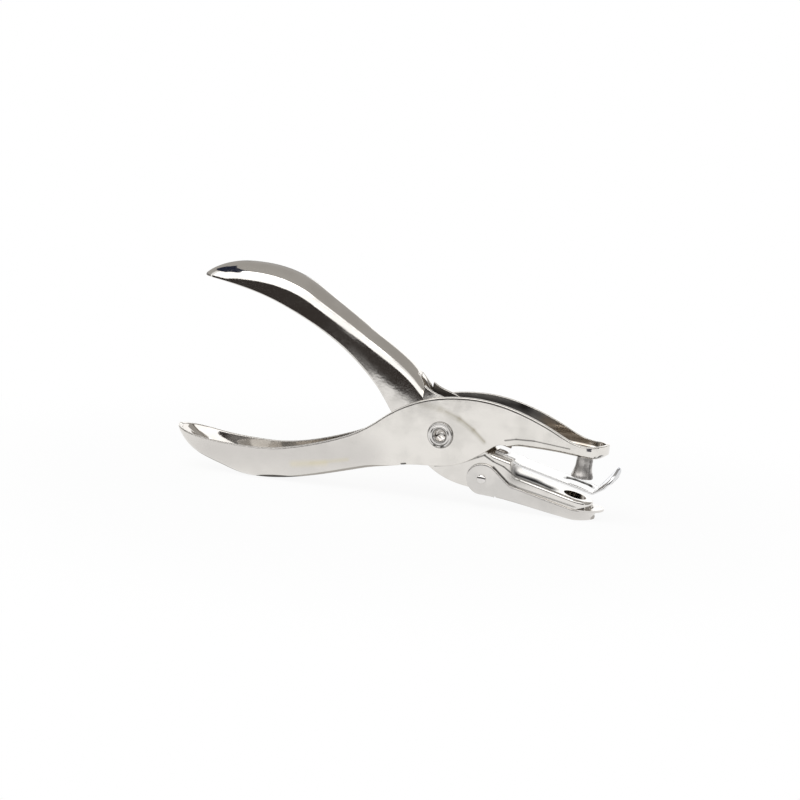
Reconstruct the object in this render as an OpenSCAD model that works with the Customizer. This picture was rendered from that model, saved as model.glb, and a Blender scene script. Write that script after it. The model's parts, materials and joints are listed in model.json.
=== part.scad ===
// Single-hole punch plier: two pressed steel levers cross at a rivet and are pushed apart by a spring.
// A punch in the upper jaw meets a die hole in the lower jaw, and a tray below catches the chips.
// Lengths are in mm. X runs from the handles to the jaws, Y along the rivet and Z up.

/* [Sheet] */
// Thickness of both levers' sheet
sheet = 1.1; // [0.9:0.05:1.3]
// Thickness of the chip tray's sheet
tray_sheet = 0.6; // [0.5:0.05:0.8]
// Thickness of the stripper's sheet
strip_sheet = 0.65; // [0.5:0.05:0.8]

/* [Pivot] */
// Width over the outer lever's cheeks
cheek_w = 12.6; // [12:0.1:14.5]
// Clearance between the levers, each side
lever_gap = 0.15; // [0.1:0.01:0.25]
// Diameter of the rivet's shank
rivet_d = 4.6; // [4:0.1:5]
// Diameter of the rivet's rolled ends
rivet_head_d = 7.2; // [6.4:0.1:8]
// Height of a rolled end above the cheek
rivet_head_h = 0.9; // [0.6:0.05:1.2]
// Diameter of the hollow in a rolled end
crater_d = 3.4; // [2.6:0.1:3.6]
// Depth of that hollow
crater_depth = 3; // [2:0.1:4]
// Radial clearance of a pin that turns in its hole
run_fit = 0.05; // [0.03:0.01:0.09]
// Radial clearance of a pin that is fixed in its hole
seat_fit = 0.02; // [0.01:0.005:0.03]

/* [Lower handle] */
// Pivot to the tip of the lower handle
lower_len = 80.3; // [70:0.1:92]
// Width of the lower handle at its spoon
lower_w = 14.6; // [13:0.1:17]
// Length over which the spoon closes to its tip
lower_spoon = 9; // [7:0.5:20]
// Pivot to the lowest place of the handle
belly_x = 55; // [48:0.5:58]
// Height of the pivot above the floor
pivot_h = 18.9; // [18.5:0.1:21]
// Depth of the tip below the pivot
lower_tip_z = 8; // [5:0.1:10]
// Height of the handle's walls at the belly
belly_wall = 9; // [6:0.1:10]
// Outer radius of the lower handle's bends
lower_bend = 3.4; // [1.6:0.1:4.5]

/* [Upper handle] */
// Pivot to the tip of the upper handle
upper_len = 74.4; // [68:0.1:86]
// Width of the upper handle at its spoon
upper_w = 13; // [11.5:0.1:15]
// Length over which the spoon closes to its tip
upper_spoon = 17; // [12:0.5:22]
// Pivot to the crest of the handle
crest_x = 60.5; // [54:0.5:64]
// Height of the crest above the pivot
crest_h = 41.6; // [38:0.1:45]
// Height of the tip above the pivot
upper_tip_h = 37; // [33:0.1:37.5]
// Outer radius of the upper handle's bends
upper_bend = 5; // [2:0.1:5.2]

/* [Jaws] */
// Pivot to the punch, along the upper jaw
punch_x = 39.6; // [37:0.1:43]
// Slope of the upper jaw's web at the punch, in degrees
jaw_tilt = 5.5; // [4:0.1:7]
// Angle through which the levers close
close_angle = 8.5; // [8:0.1:9]
// Diameter of the punched hole
punch_d = 6; // [5:0.1:6.4]
// Length of the punch below the web
punch_len = 6.2; // [5.8:0.1:7.2]
// Diameter of the punch's neck
punch_neck_d = 4.5; // [3.8:0.1:4.8]
// Length of the punch's straight cutting end
punch_land = 0.6; // [0.4:0.1:2]
// Diameter of the punch's tenon
tenon_d = 3; // [2.4:0.1:3.4]
// Diameter of the tenon's riveted head
tenon_head_d = 4.4; // [3.8:0.1:5]
// Height of that head
tenon_head_h = 0.8; // [0.5:0.05:1]
// Radial clearance of the die hole
die_gap = 0.2; // [0.18:0.01:0.3]
// Depth of the die hole's centre below the pivot
die_drop = 13; // [12.8:0.1:13.6]
// Height of the lower jaw's back level above its die level
step_h = 3.4; // [3.1:0.1:3.5]
// Outer radius of the upper jaw's bends
jaw_bend = 2.3; // [1.2:0.1:2.6]
// Outer radius of the lower jaw's bends
die_bend = 0.9; // [0.6:0.1:1.1]

/* [Stripper] */
// Width of the stripper
strip_w = 9.4; // [8.6:0.1:9.8]
// Width of its tongue, between the spring's legs
tongue_w = 4.6; // [4:0.1:5]
// Gap for the paper above the die
paper_gap = 2.9; // [1.8:0.1:3]
// Length of the slot for the punch
slot_l = 9; // [8.4:0.1:9.6]
// Width of that slot
slot_w = 7; // [6.8:0.1:7.4]
// Length of the turned-up lip
lip_len = 9.4; // [6:0.1:10.5]
// Angle of the lip to the stripper, in degrees
lip_angle = 64; // [50:1:68]
// Diameter of the stripper's rivet
strip_rivet_d = 1.8; // [1.4:0.1:2.2]

/* [Chip tray] */
// Pivot to the tray's hinge, forwards
hinge_x = 12.4; // [11.8:0.1:13]
// Depth of the hinge below the pivot
hinge_drop = 10.9; // [10.6:0.1:11.8]
// Radius of the tray's ears
ear_r = 4.3; // [4:0.1:4.6]
// Diameter of the hinge rivets
hinge_d = 1.8; // [1.4:0.1:2.2]
// Diameter of the hinge rivets' heads
hinge_head_d = 2.6; // [2.4:0.1:3.2]
// Clearance of the tray beside the jaw
tray_side_gap = 0.15; // [0.1:0.01:0.25]
// Clearance of the tray below the jaw
tray_gap = 0.4; // [0.3:0.05:0.5]
// Outer radius of the tray's bends
tray_bend = 0.9; // [0.7:0.05:1]
// Height of the tray's front wall
tray_front_h = 3; // [2:0.1:3.4]
// Reach of the finger lip at the front
tray_lip = 3; // [1.5:0.1:3.4]

/* [Spring] */
// Diameter of the spring's wire
wire_d = 0.75; // [0.6:0.05:0.78]
// Mean diameter of the coils
coil_d = 6.3; // [6.2:0.1:7]
// Whole turns of each coil before its loop leaves
coil_turns = 2; // [1:1:2]
// Gap between the spring's ends and the webs they push
spring_seat = 0.3; // [0.2:0.05:0.4]

/* [Hidden] */
$fn = 48;

// Steps round each bend of a pressed channel
bend_steps = 4;
// Half width of the blunt end of a spoon or nose, and of the closed stretch behind it
blunt = 0.6;
// Radius left on an edge that has no bend
edge_r = 0.3;
// A cut runs this far past the face it leaves
past = 1;
// A cut beside a wall shaves this much off it
shave = 0.01;
// Length over which a handle's bend sharpens to the cheeks' edge
bend_fade = 8;
// Thickness of the upper handle's sharp tip
tip_edge = 0.6;

// Half widths, from the outer cheeks inwards
outer_half = cheek_w / 2;
outer_in = outer_half - sheet;
inner_half = outer_in - lever_gap;
inner_in = inner_half - sheet;
tray_in = inner_half + tray_side_gap;
tray_half = tray_in + tray_sheet;

// Slope of the die, so that it faces the punch when the jaws are closed
die_tilt = jaw_tilt + close_angle;
die_slope = -tan(die_tilt);

// Outer lever: the web's lower face, as [x, z, slope]
lower_web_end = 11;
keel = 8;
keel_lift = 1.7;
jaw_web_start = 18.6;
web_lead = 1.4;
nose_r = outer_half;
nose_x = punch_x + nose_r;
punch_z = -1.7;
punch_flat = 4;
nose_flat = 2.6;
nose_lift = 1;
outer_web = [
    [-lower_len, -lower_tip_z, -0.9],
    [-belly_x - keel, keel_lift - pivot_h, -0.42],
    [-belly_x, -pivot_h, 0],
    [-lower_web_end, -9.8, 0.2],
    [3, -8.3, 0.2],
    [13.7, -2.7, 0.75],
    [jaw_web_start - web_lead, -0.8, 0],
    [punch_x - punch_flat, punch_z + punch_flat * tan(jaw_tilt), -tan(jaw_tilt)],
    [punch_x + nose_flat, punch_z - nose_flat * tan(jaw_tilt), -tan(jaw_tilt)],
    [nose_x, punch_z + nose_lift, 0.8]];
// Outer lever: the rim of the walls
arch_x = 8.5;
arch_h = 11.15;
outer_rim = [
    [-lower_len, -lower_tip_z + sheet, -0.3],
    [-belly_x, belly_wall - pivot_h, 0],
    [-30, -4.5, 0.36],
    [-18, 2.2, 0.8],
    [arch_x, arch_h, 0],
    [30, 5.8, -0.45],
    [punch_x + 1.5, 1.3, -0.05],
    [nose_x, 1.5, 0.05]];
// Outer lever: half width, and radius of the bends
outer_side = [[lower_spoon - lower_len, lower_w / 2, 0], [-18, outer_half, 0], [nose_x, outer_half, 0]];
outer_bend = [
    [-lower_web_end - bend_fade, lower_bend, 0],
    [-lower_web_end, edge_r, 0],
    [jaw_web_start - 2, edge_r, 0],
    [jaw_web_start + 4, jaw_bend, 0]];

// The die hole lies as far from the pivot as the punch does
punch_axis = [-sin(jaw_tilt), -cos(jaw_tilt)];
punch_end = [punch_x, punch_z] + punch_len * punch_axis;
punch_arm = punch_end.y * punch_axis.x - punch_end.x * punch_axis.y;
die_x = (punch_arm - die_drop * sin(die_tilt)) / cos(die_tilt);
die_nose_x = die_x + inner_half;

// Height of the lower jaw's die level, and of the level behind the step
function die_level(x) = -die_drop + die_slope * (x - die_x);
function back_level(x) = die_level(x) + step_h / cos(die_tilt);

// Inner lever: the web's upper face
// Places behind the crest, as shares of its distance and height
fall = [0.66, 0.87];
palm = [0.774, 0.724];
upper_web_end = 9.1;
back_start = 13.6;
back_end = 20;
riser = 1;
inner_web = [
    [-upper_len, upper_tip_h, 0.8],
    [-crest_x, crest_h, 0],
    [-fall.x * crest_x, fall.y * crest_h, -0.62],
    [-24, 25.9, -0.7],
    [-upper_web_end - 2, 16.6, -1],
    [-upper_web_end, 14.1, -0.6],
    [-5, 11.8, -0.4],
    [0.9, 9.9, -0.4],
    [back_start, back_level(back_start), die_slope],
    [back_end, back_level(back_end), die_slope],
    [back_end + riser, die_level(back_end + riser), die_slope],
    [die_nose_x, die_level(die_nose_x), die_slope]];

// Chip tray: the floor's lower face, which ends in a flat land that the object rests on
hinge = [hinge_x, -hinge_drop];
land_x = die_x + 1;
tray_front_x = die_x + tray_half;
tray_web = [
    [hinge_x, -hinge_drop - ear_r, -0.05],
    [land_x, -pivot_h, -0.12],
    [land_x, -pivot_h, 0],
    [tray_front_x, -pivot_h, 0]];
// Chip tray: the rim of the walls
tray_rim = [
    [hinge_x, ear_r - hinge_drop, 0],
    [hinge_x + 2.8, ear_r - hinge_drop - 0.7, -0.75],
    [hinge_x + 7.2, ear_r - hinge_drop - 4.4, -0.8],
    [hinge_x + 9, ear_r - hinge_drop - 5.3, -0.22],
    [land_x, tray_front_h - pivot_h, -0.2],
    [tray_front_x, tray_front_h - pivot_h, 0]];
tray_floor_start = hinge_x + 4.2;

// Inner lever: the lower edge of the walls, which the tray follows under the jaw
tray_room = tray_sheet + tray_gap;
inner_rim = [
    [-upper_len, upper_tip_h - tip_edge, -0.05],
    [-palm.x * crest_x, palm.y * crest_h, -0.46],
    [-20, 11.3, -1.1],
    [-12, 0.2, -1.2],
    [-2.65, -9.7, -0.7],
    [hinge_x - 2, -hinge_drop - ear_r + tray_room + 0.3, -0.1],
    [hinge_x + 4, curve(tray_web, hinge_x + 4) + tray_room, -0.08],
    [land_x, tray_room - pivot_h, -0.12],
    [die_nose_x, tray_room - pivot_h, 0]];
// Inner lever: half width, and radius of the bends
inner_side = [[upper_spoon - upper_len, upper_w / 2, 0], [-22, inner_half, 0], [die_nose_x, inner_half, 0]];
inner_bend = [
    [-upper_web_end - bend_fade, upper_bend, 0],
    [-upper_web_end, edge_r, 0],
    [back_start - 2, edge_r, 0],
    [back_start, die_bend, 0]];

// Stripper: its lower face in the jaw's own frame, with the die's centre as origin
back_u = (back_start - die_x) / cos(die_tilt) - step_h * tan(die_tilt);
step_u = (back_end - die_x) / cos(die_tilt) - step_h * tan(die_tilt);
strip_land = 0.8;
strip_front = slot_l / 2 + strip_land;
tongue_in = 1.2;
strip_ramp = 2.4;
shoulder = 0.6;
strip_path = [
    [back_u + tongue_in, step_h],
    [step_u, step_h],
    [step_u + strip_ramp, paper_gap],
    [strip_front, paper_gap],
    [strip_front, paper_gap] + lip_len * [cos(lip_angle), sin(lip_angle)]];
strip_outline = ribbon(strip_path, strip_sheet);
rivet_in = 2.8;
strip_rivet_u = back_u + rivet_in;
strip_reach = max([for (p = strip_outline) stand_x(p)]);

// Spring: where its legs and its loop end, as [x, z]
coil_r = coil_d / 2;
leg_gap = 0.28;
leg_y = inner_in - wire_d / 2 - leg_gap;
loop_y = 0.85;
leg_in = 1;
leg_x = jaw_web_start + leg_in;
leg_end = [leg_x, curve(outer_web, leg_x) - spring_seat - wire_d / 2];
loop_in = 1.6;
loop_x = -upper_web_end - loop_in;
loop_ease = 2.2;
loop_end = [loop_x, face_in(inner_web, loop_x, -1, sheet) - loop_ease * (spring_seat + wire_d / 2)];
leg_turn = atan2(leg_end.y, leg_end.x) + acos(coil_r / norm(leg_end));
loop_turn = atan2(loop_end.y, loop_end.x) - acos(coil_r / norm(loop_end)) + 360 * coil_turns;
coil_steps = ceil(abs(loop_turn - leg_turn) / 45);

// The part stands on the floor, with its length and width centred on the origin
stand = [(lower_len - strip_reach) / 2, 0, pivot_h];

// Height of a smooth curve through [x, z, slope] knots, level past its ends
function knot_before(k, x, i = 0) = i >= len(k) - 2 || x < k[i + 1].x ? i : knot_before(k, x, i + 1);
function curve(k, x) =
    let (q = min(max(x, k[0].x), k[len(k) - 1].x),
        i = knot_before(k, q),
        a = k[i],
        b = k[i + 1],
        d = b.x - a.x,
        s = (q - a.x) / d)
    pow(1 - s, 2) * ((1 + 2 * s) * a.y + s * d * a.z) + s * s * ((3 - 2 * s) * b.y + (s - 1) * d * b.z);

// Inner face of a sheet, by letting a circle of the sheet's thickness roll along the outer face
function face_in(k, x, up, t) =
    up * max([for (i = [-4:4]) let (u = t * i / 4) up * curve(k, x + u) + sqrt(t * t - u * u)]);

// Half width near a rounded end, which closes over the given length
function closing(w, from_end, length) =
    let (u = min(max(from_end / length, 0), 1))
    blunt + (w - blunt) * sqrt(u * (2 - u));

// U section of a channel: down one wall, round both bends and up the other wall
function u_section(w, web, rim, r) =
    let (up = sign(rim - web),
        bend = [for (i = [0:bend_steps]) let (a = 90 * i / bend_steps)
            [w - r * (1 - cos(a)), web + up * r * (1 - sin(a))]])
    concat(
        [[-w, rim]],
        [for (p = bend) [-p.x, p.y]],
        [for (i = [bend_steps:-1:0]) bend[i]],
        [[w, rim]]);

// One station of a channel: outer and inner section, where the inner one lies flat on the rim if it is closed
function station(x, w, w_in, web, web_in, rim, r, t) =
    let (up = sign(rim - web),
        open = up * (rim - web_in) > edge_r && w_in > blunt,
        outer = u_section(w, web, rim, min(r, 0.8 * w, 0.8 * abs(rim - web))),
        n = len(outer) - 1,
        half = min(w_in, 0.7 * w),
        inner = open
            ? u_section(w_in, web_in, rim, min(max(r - t, edge_r), 0.8 * w_in, 0.8 * abs(rim - web_in)))
            : [for (i = [0:n]) [half * (2 * i / n - 1), rim]])
    [for (p = concat(outer, inner)) [x, p.x, p.y]];

// Solid through a row of stations
module channel(stations, up) {
    m = len(stations[0]) / 2;
    last = len(stations) - 1;
    function at(j, i) = j * 2 * m + i;
    function quad(a, b, c, d) = [[a, b, c], [a, c, d]];
    sides = [for (j = [0:last - 1], i = [0:m - 2]) each concat(
        quad(at(j, i), at(j + 1, i), at(j + 1, i + 1), at(j, i + 1)),
        quad(at(j, m + i), at(j, m + i + 1), at(j + 1, m + i + 1), at(j + 1, m + i)))];
    rims = [for (j = [0:last - 1]) each concat(
        quad(at(j, 0), at(j, m), at(j + 1, m), at(j + 1, 0)),
        quad(at(j, 2 * m - 1), at(j, m - 1), at(j + 1, m - 1), at(j + 1, 2 * m - 1)))];
    function end(j, i) = i < m / 2 - 1
        ? quad(at(j, m + i), at(j, i), at(j, i + 1), at(j, m + i + 1))
        : quad(at(j, i), at(j, i + 1), at(j, m + i + 1), at(j, m + i));
    starts = [for (i = [0:m - 2]) each end(0, i)];
    ends = [for (i = [0:m - 2], f = end(last, i)) [f[2], f[1], f[0]]];
    faces = concat(sides, rims, starts, ends);
    polyhedron([for (s = stations) each s], up > 0 ? faces : [for (f = faces) [f[2], f[1], f[0]]]);
}

// Places along a channel: close together at a rounded end, even between
function end_steps(n) = [for (i = [0:n - 1]) 1 - cos(90 * i / n)];
function even_steps(a, b, n) = [for (i = [0:n]) a + (b - a) * i / n];
function nose_places(x1, r, t) = concat(
    [for (i = [1:6]) x1 - r + (r - t) * sin(90 * i / 6) - 0.01],
    [for (f = [1, 0.6, 0.25, 0.06, 0]) x1 - t * f]);

// Outline of a bent strip: the path, and the path moved by its thickness
function path_normal(p, i) = let (d = p[i + 1] - p[i]) [-d.y, d.x] / norm(d);
function ribbon(p, t) =
    let (n = len(p) - 1,
        moved = [for (i = [0:n])
            let (a = path_normal(p, max(i - 1, 0)), b = path_normal(p, min(i, n - 1)))
            p[i] + t * (a + b) / (1 + a * b)])
    concat(p, [for (i = [n:-1:0]) moved[i]]);

// From the jaw's own frame to the pivot's
function stand_x(p) = die_x + p.x * cos(die_tilt) + p.y * sin(die_tilt);
module in_jaw() {
    translate([die_x, 0, -die_drop]) rotate([0, die_tilt, 0]) children();
}

// Round bar across the part, centred on the XZ plane
module cross_bar(at, r, w) {
    translate([at.x, 0, at.y]) rotate([90, 0, 0]) cylinder(r = r, h = w, center = true);
}

// Opening between the cheeks, from x0 to x1
module window(x0, x1, half) {
    translate([x0, -half - shave, -pivot_h]) cube([x1 - x0, 2 * (half + shave), pivot_h + arch_h + crest_h]);
}

// Places of the outer lever's stations, from the lower handle's tip to the nose
outer_places = concat(
    [for (u = end_steps(9)) -lower_len + lower_spoon * u],
    even_steps(lower_spoon - lower_len, punch_x - punch_flat, 29),
    [punch_x - punch_flat / 2],
    [for (x = nose_places(nose_x, nose_r, sheet)) if (x > punch_x + punch_flat / 2) x]);
function outer_station(x) =
    let (side = curve(outer_side, x),
        w = min(closing(side, x + lower_len, lower_spoon), closing(side, nose_x - x, nose_r)),
        w_in = min(
            closing(side - sheet, x + lower_len - sheet, lower_spoon - sheet),
            closing(side - sheet, nose_x - sheet - x, nose_r - sheet)))
    station(x, w, w_in, curve(outer_web, x), face_in(outer_web, x, 1, sheet), curve(outer_rim, x),
        curve(outer_bend, x), sheet);

// Lower handle, cheeks and upper jaw in one pressing
module outer_lever() {
    color("silver") translate(stand) difference() {
        channel([for (x = outer_places) outer_station(x)], 1);
        window(-lower_web_end, jaw_web_start, outer_in);
        cross_bar([0, 0], rivet_d / 2 + seat_fit, cheek_w + 2 * past);
        at_punch() translate([0, 0, -past]) cylinder(d = tenon_d + 2 * seat_fit, h = sheet + 2 * past);
    }
}

// Places of the inner lever's stations, with the step in its jaw closely followed
inner_places = concat(
    [for (u = end_steps(9)) -upper_len + upper_spoon * u],
    even_steps(upper_spoon - upper_len, back_start, 23),
    [for (f = [1.1, 0.8, 0.4]) back_end - f * sheet],
    even_steps(back_end, back_end + riser, 4),
    even_steps(back_end + 2 * riser, die_x, 3),
    nose_places(die_nose_x, inner_half, sheet));
function inner_station(x) =
    let (side = curve(inner_side, x),
        w = min(closing(side, x + upper_len, upper_spoon), closing(side, die_nose_x - x, inner_half)),
        w_in = min(
            closing(side - sheet, x + upper_len - sheet, upper_spoon - sheet),
            closing(side - sheet, die_nose_x - sheet - x, inner_half - sheet)))
    station(x, w, w_in, curve(inner_web, x), face_in(inner_web, x, -1, sheet), curve(inner_rim, x),
        curve(inner_bend, x), sheet);

// Upper handle, inner cheeks and lower jaw in one pressing
module inner_lever() {
    color("silver") translate(stand) difference() {
        channel([for (x = inner_places) inner_station(x)], -1);
        window(-upper_web_end, back_start, inner_in);
        cross_bar([0, 0], rivet_d / 2 + run_fit, cheek_w);
        cross_bar(hinge, hinge_d / 2 + seat_fit, cheek_w);
        in_jaw() translate([0, 0, -sheet - past]) cylinder(d = punch_d + 2 * die_gap, h = sheet + 2 * past);
        in_jaw() translate([strip_rivet_u, 0, step_h - sheet - past])
            cylinder(d = strip_rivet_d + 2 * seat_fit, h = sheet + 2 * past);
    }
}

// Tubular rivet with both ends rolled over the cheeks
module pivot_rivet() {
    end_y = outer_half + rivet_head_h;
    roll = rivet_head_h / 2;
    color("gainsboro") translate(stand) rotate([90, 0, 0]) rotate_extrude() difference() {
        union() {
            translate([0, -end_y]) square([rivet_d / 2, 2 * end_y]);
            for (y = [outer_half, -end_y])
                translate([0, y]) square([rivet_head_d / 2 - roll, rivet_head_h]);
            for (y = [outer_half + roll, -outer_half - roll])
                translate([rivet_head_d / 2 - roll, y]) circle(r = roll);
        }
        for (y = [end_y - crater_depth, -end_y - past])
            translate([-past, y]) square([crater_d / 2 + past, crater_depth + past]);
    }
}

// Path of half the spring, from a leg's end to the middle loop: point, and the two axes of the wire's section
spring_half = concat(
    [for (i = [0:2]) let (n = radial(leg_turn))
        [to_y(leg_end + (coil_r * n - leg_end) * i / 3, leg_y), to_y(n, 0), [0, 1, 0]]],
    [for (i = [0:coil_steps]) let (f = i / coil_steps, n = radial(leg_turn + (loop_turn - leg_turn) * f))
        [to_y(coil_r * n, leg_y + (loop_y - leg_y) * f), to_y(n, 0), [0, 1, 0]]],
    [for (i = [1:3]) let (n = radial(loop_turn))
        [to_y(coil_r * n + (loop_end - coil_r * n) * i / 3, loop_y), to_y(n, 0), [0, 1, 0]]]);
// The loop that joins the halves, and the whole path
spring_loop = [for (a = [45:45:135]) let (d = to_y(radial(loop_turn + 90), 0))
    [to_y(loop_end, 0) + loop_y * ([0, cos(a), 0] + d * sin(a)), to_y(radial(loop_turn), 0),
        [0, cos(a), 0] + d * sin(a)]];
spring_path = concat(
    spring_half,
    spring_loop,
    [for (i = [len(spring_half) - 1:-1:0]) let (s = spring_half[i])
        [[s[0].x, -s[0].y, s[0].z], s[1], [0, -1, 0]]]);
function radial(a) = [cos(a), sin(a)];
function to_y(p, y) = [p.x, y, p.y];
spring_gap = min([for (i = [0:len(spring_path) - 1], j = [i + 5:1:len(spring_path) - 1])
    norm(spring_path[i][0] - spring_path[j][0])]) - wire_d;
echo(spring_gap = spring_gap);

// Double torsion spring: a tube of six sides along the path
module return_spring() {
    n = len(spring_path);
    points = [for (s = spring_path, a = [0:60:300]) s[0] + wire_d / 2 * (s[1] * cos(a) + s[2] * sin(a))];
    walls = [for (j = [0:n - 2], i = [0:5]) let (a = j * 6 + i, b = j * 6 + (i + 1) % 6)
        each [[a, b + 6, b], [a, a + 6, b + 6]]];
    caps = [for (i = [1:4]) each [[0, i, i + 1], [6 * n - 6, 6 * n - 5 + i, 6 * n - 6 + i]]];
    color("dimgray") translate(stand) polyhedron(points, concat(walls, caps));
}

// Frame of the punch, on the web's lower face
module at_punch() {
    translate([punch_x, 0, punch_z]) rotate([0, jaw_tilt, 0]) children();
}

// Turned punch: short cutting end, waisted neck and a tenon riveted over inside the jaw
module punch_pin() {
    flare = 9;
    waist = (punch_d - punch_neck_d) / 2;
    neck_z = punch_land - punch_len + sqrt(waist * (2 * flare - waist));
    color("slategray") translate(stand) at_punch() rotate_extrude() {
        difference() {
            translate([0, -punch_len]) square([punch_d / 2, punch_len]);
            translate([punch_neck_d / 2, neck_z]) square([punch_d, punch_len]);
            translate([punch_neck_d / 2 + flare, neck_z]) circle(r = flare, $fn = 4 * $fn);
        }
        square([tenon_d / 2, sheet + tenon_head_h]);
        translate([0, sheet]) square([tenon_head_d / 2, tenon_head_h]);
    }
}

// Lip of the stripper as seen along the sheet: straight sides and a half-round end
module lip_shape() {
    square([2 * past, strip_w], center = true);
    translate([0, -strip_w / 2]) square([lip_len - strip_w / 2, strip_w]);
    translate([lip_len - strip_w / 2, 0]) circle(d = strip_w);
}

// Stripper: a bent strip with a narrow tongue, a slot for the punch and a round-ended lip
module stripper_plate() {
    high = step_h + strip_sheet + past;
    color("whitesmoke") translate(stand) in_jaw() difference() {
        intersection() {
            rotate([90, 0, 0]) linear_extrude(strip_w, center = true) polygon(strip_outline);
            union() {
                linear_extrude(high) {
                    translate([back_u, -tongue_w / 2]) square([step_u - back_u + 2 * shoulder, tongue_w]);
                    translate([step_u + shoulder, -strip_w / 2])
                        square([strip_front - step_u - shoulder, strip_w]);
                }
                translate([strip_front, 0, paper_gap]) rotate([0, -lip_angle, 0])
                    linear_extrude(4 * past, center = true) lip_shape();
            }
        }
        for (x = [-1, 1]) translate([x * (slot_l - slot_w) / 2, 0, 0]) cylinder(d = slot_w, h = high);
        translate([-(slot_l - slot_w) / 2, -slot_w / 2, 0]) cube([slot_l - slot_w, slot_w, high]);
        translate([strip_rivet_u, 0, 0]) cylinder(d = strip_rivet_d + 2 * seat_fit, h = high);
    }
}

// Rivet that holds the stripper's tongue on the web
module stripper_rivet() {
    head_h = 0.4;
    head_share = 0.8;
    head_r = strip_rivet_d * head_share;
    bottom = step_h - sheet - head_h;
    color("gainsboro") translate(stand) in_jaw() translate([strip_rivet_u, 0, bottom]) {
        cylinder(r = head_r, h = head_h);
        cylinder(d = strip_rivet_d, h = sheet + strip_sheet + 2 * head_h);
        translate([0, 0, head_h + sheet + strip_sheet]) cylinder(r = head_r, h = head_h);
    }
}

// Places of the tray's stations, from the back of its ears to its front
tray_places = concat(
    [for (a = [12:13:77]) hinge_x - ear_r * cos(a)],
    even_steps(hinge_x, hinge_x + 9, 9),
    even_steps(hinge_x + 12, land_x - 3, 3),
    [land_x],
    nose_places(tray_front_x, tray_half, tray_sheet));
function ear_z(x) = sqrt(max(ear_r * ear_r - pow(hinge_x - x, 2), 0));
function tray_station(x) =
    let (ear = x < hinge_x,
        web = ear ? -hinge_drop - ear_z(x) : curve(tray_web, x),
        rim = ear ? -hinge_drop + ear_z(x) : curve(tray_rim, x),
        web_in = ear ? web + tray_sheet : face_in(tray_web, x, 1, tray_sheet))
    station(x, closing(tray_half, tray_front_x - x, tray_half),
        closing(tray_in, tray_front_x - tray_sheet - x, tray_in),
        web, web_in, rim, x < tray_floor_start ? edge_r : tray_bend, tray_sheet);

// Chip tray: a thin channel with a round front, two ears and a finger lip
module chip_tray() {
    lip_trim = 0.6;
    lip_z = tray_front_h - pivot_h - tray_sheet;
    color("gainsboro") translate(stand) {
        difference() {
            channel([for (x = tray_places) tray_station(x)], 1);
            window(hinge_x - ear_r - past, tray_floor_start, tray_in);
            cross_bar(hinge, hinge_d / 2 + run_fit, 2 * (tray_half + past));
        }
        difference() {
            translate([die_x + tray_lip, 0, lip_z]) cylinder(r = tray_half - lip_trim, h = tray_sheet);
            translate([die_x, 0, lip_z - past])
                cylinder(r = tray_half - tray_sheet / 2, h = tray_sheet + 2 * past);
        }
    }
}

// Hinge rivet on one side: headed outside the ear, peened inside the cheek
module tray_rivet(side) {
    peen = 0.4;
    head = 0.55;
    turn_gap = 0.05;
    color("gainsboro") translate(stand) translate([hinge.x, 0, hinge.y]) rotate([90 * side, 0, 0]) {
        translate([0, 0, inner_in - peen]) cylinder(d = hinge_head_d, h = peen);
        translate([0, 0, inner_in - peen]) cylinder(d = hinge_d, h = tray_half - inner_in + peen + head);
        translate([0, 0, tray_half + turn_gap]) cylinder(d = hinge_head_d, h = head - turn_gap);
    }
}
module tray_rivet_near() { tray_rivet(1); }
module tray_rivet_far() { tray_rivet(-1); }

outer_lever();
inner_lever();
pivot_rivet();
return_spring();
punch_pin();
stripper_plate();
stripper_rivet();
chip_tray();
tray_rivet_near();
tray_rivet_far();
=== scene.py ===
"""Single-hole punch plier in plated steel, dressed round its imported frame.

Lengths are in millimetres from the pivot's centre until a mesh is placed, where they become metres.
X runs from the handles to the jaws, Y along the rivet and Z up.
"""

import json
import logging
from dataclasses import dataclass, field
from enum import Enum
from functools import cache
from math import acos, atan2, ceil, copysign, cos, hypot, pi, radians as rad, sin, sqrt, tan
from typing import Optional, Sequence

import bmesh
import bpy
import numpy as np
from mathutils import Matrix, Vector


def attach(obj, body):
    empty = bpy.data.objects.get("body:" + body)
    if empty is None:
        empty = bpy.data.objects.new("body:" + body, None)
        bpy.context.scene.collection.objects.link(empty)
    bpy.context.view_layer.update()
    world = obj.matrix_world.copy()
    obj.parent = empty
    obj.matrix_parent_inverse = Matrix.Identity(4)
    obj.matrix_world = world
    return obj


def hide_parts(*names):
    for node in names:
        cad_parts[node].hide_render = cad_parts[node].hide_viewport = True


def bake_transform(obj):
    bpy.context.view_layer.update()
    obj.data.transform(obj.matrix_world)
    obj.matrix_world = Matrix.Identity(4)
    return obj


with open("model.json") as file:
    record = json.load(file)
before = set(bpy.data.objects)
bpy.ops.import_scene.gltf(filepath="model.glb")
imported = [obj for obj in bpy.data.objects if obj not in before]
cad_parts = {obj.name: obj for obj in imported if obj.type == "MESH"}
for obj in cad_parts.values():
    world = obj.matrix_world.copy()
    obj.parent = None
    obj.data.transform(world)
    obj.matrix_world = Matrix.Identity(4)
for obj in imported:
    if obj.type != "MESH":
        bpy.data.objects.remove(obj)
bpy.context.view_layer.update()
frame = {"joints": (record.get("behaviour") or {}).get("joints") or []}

LOG = logging.getLogger("punch_plier")

Point = tuple[float, float]
Place = tuple[float, float, float]
Colour = tuple[float, float, float]
Obj, Tree, Node, Socket = bpy.types.Object, bpy.types.NodeTree, bpy.types.Node, bpy.types.NodeSocket

MM = 0.001
PIVOT = Vector(next(joint["pos_m"] for joint in frame["joints"] if joint["name"] == "lever_pivot"))

# Half width left where a rounded end closes
BLUNT = 0.12
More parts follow.
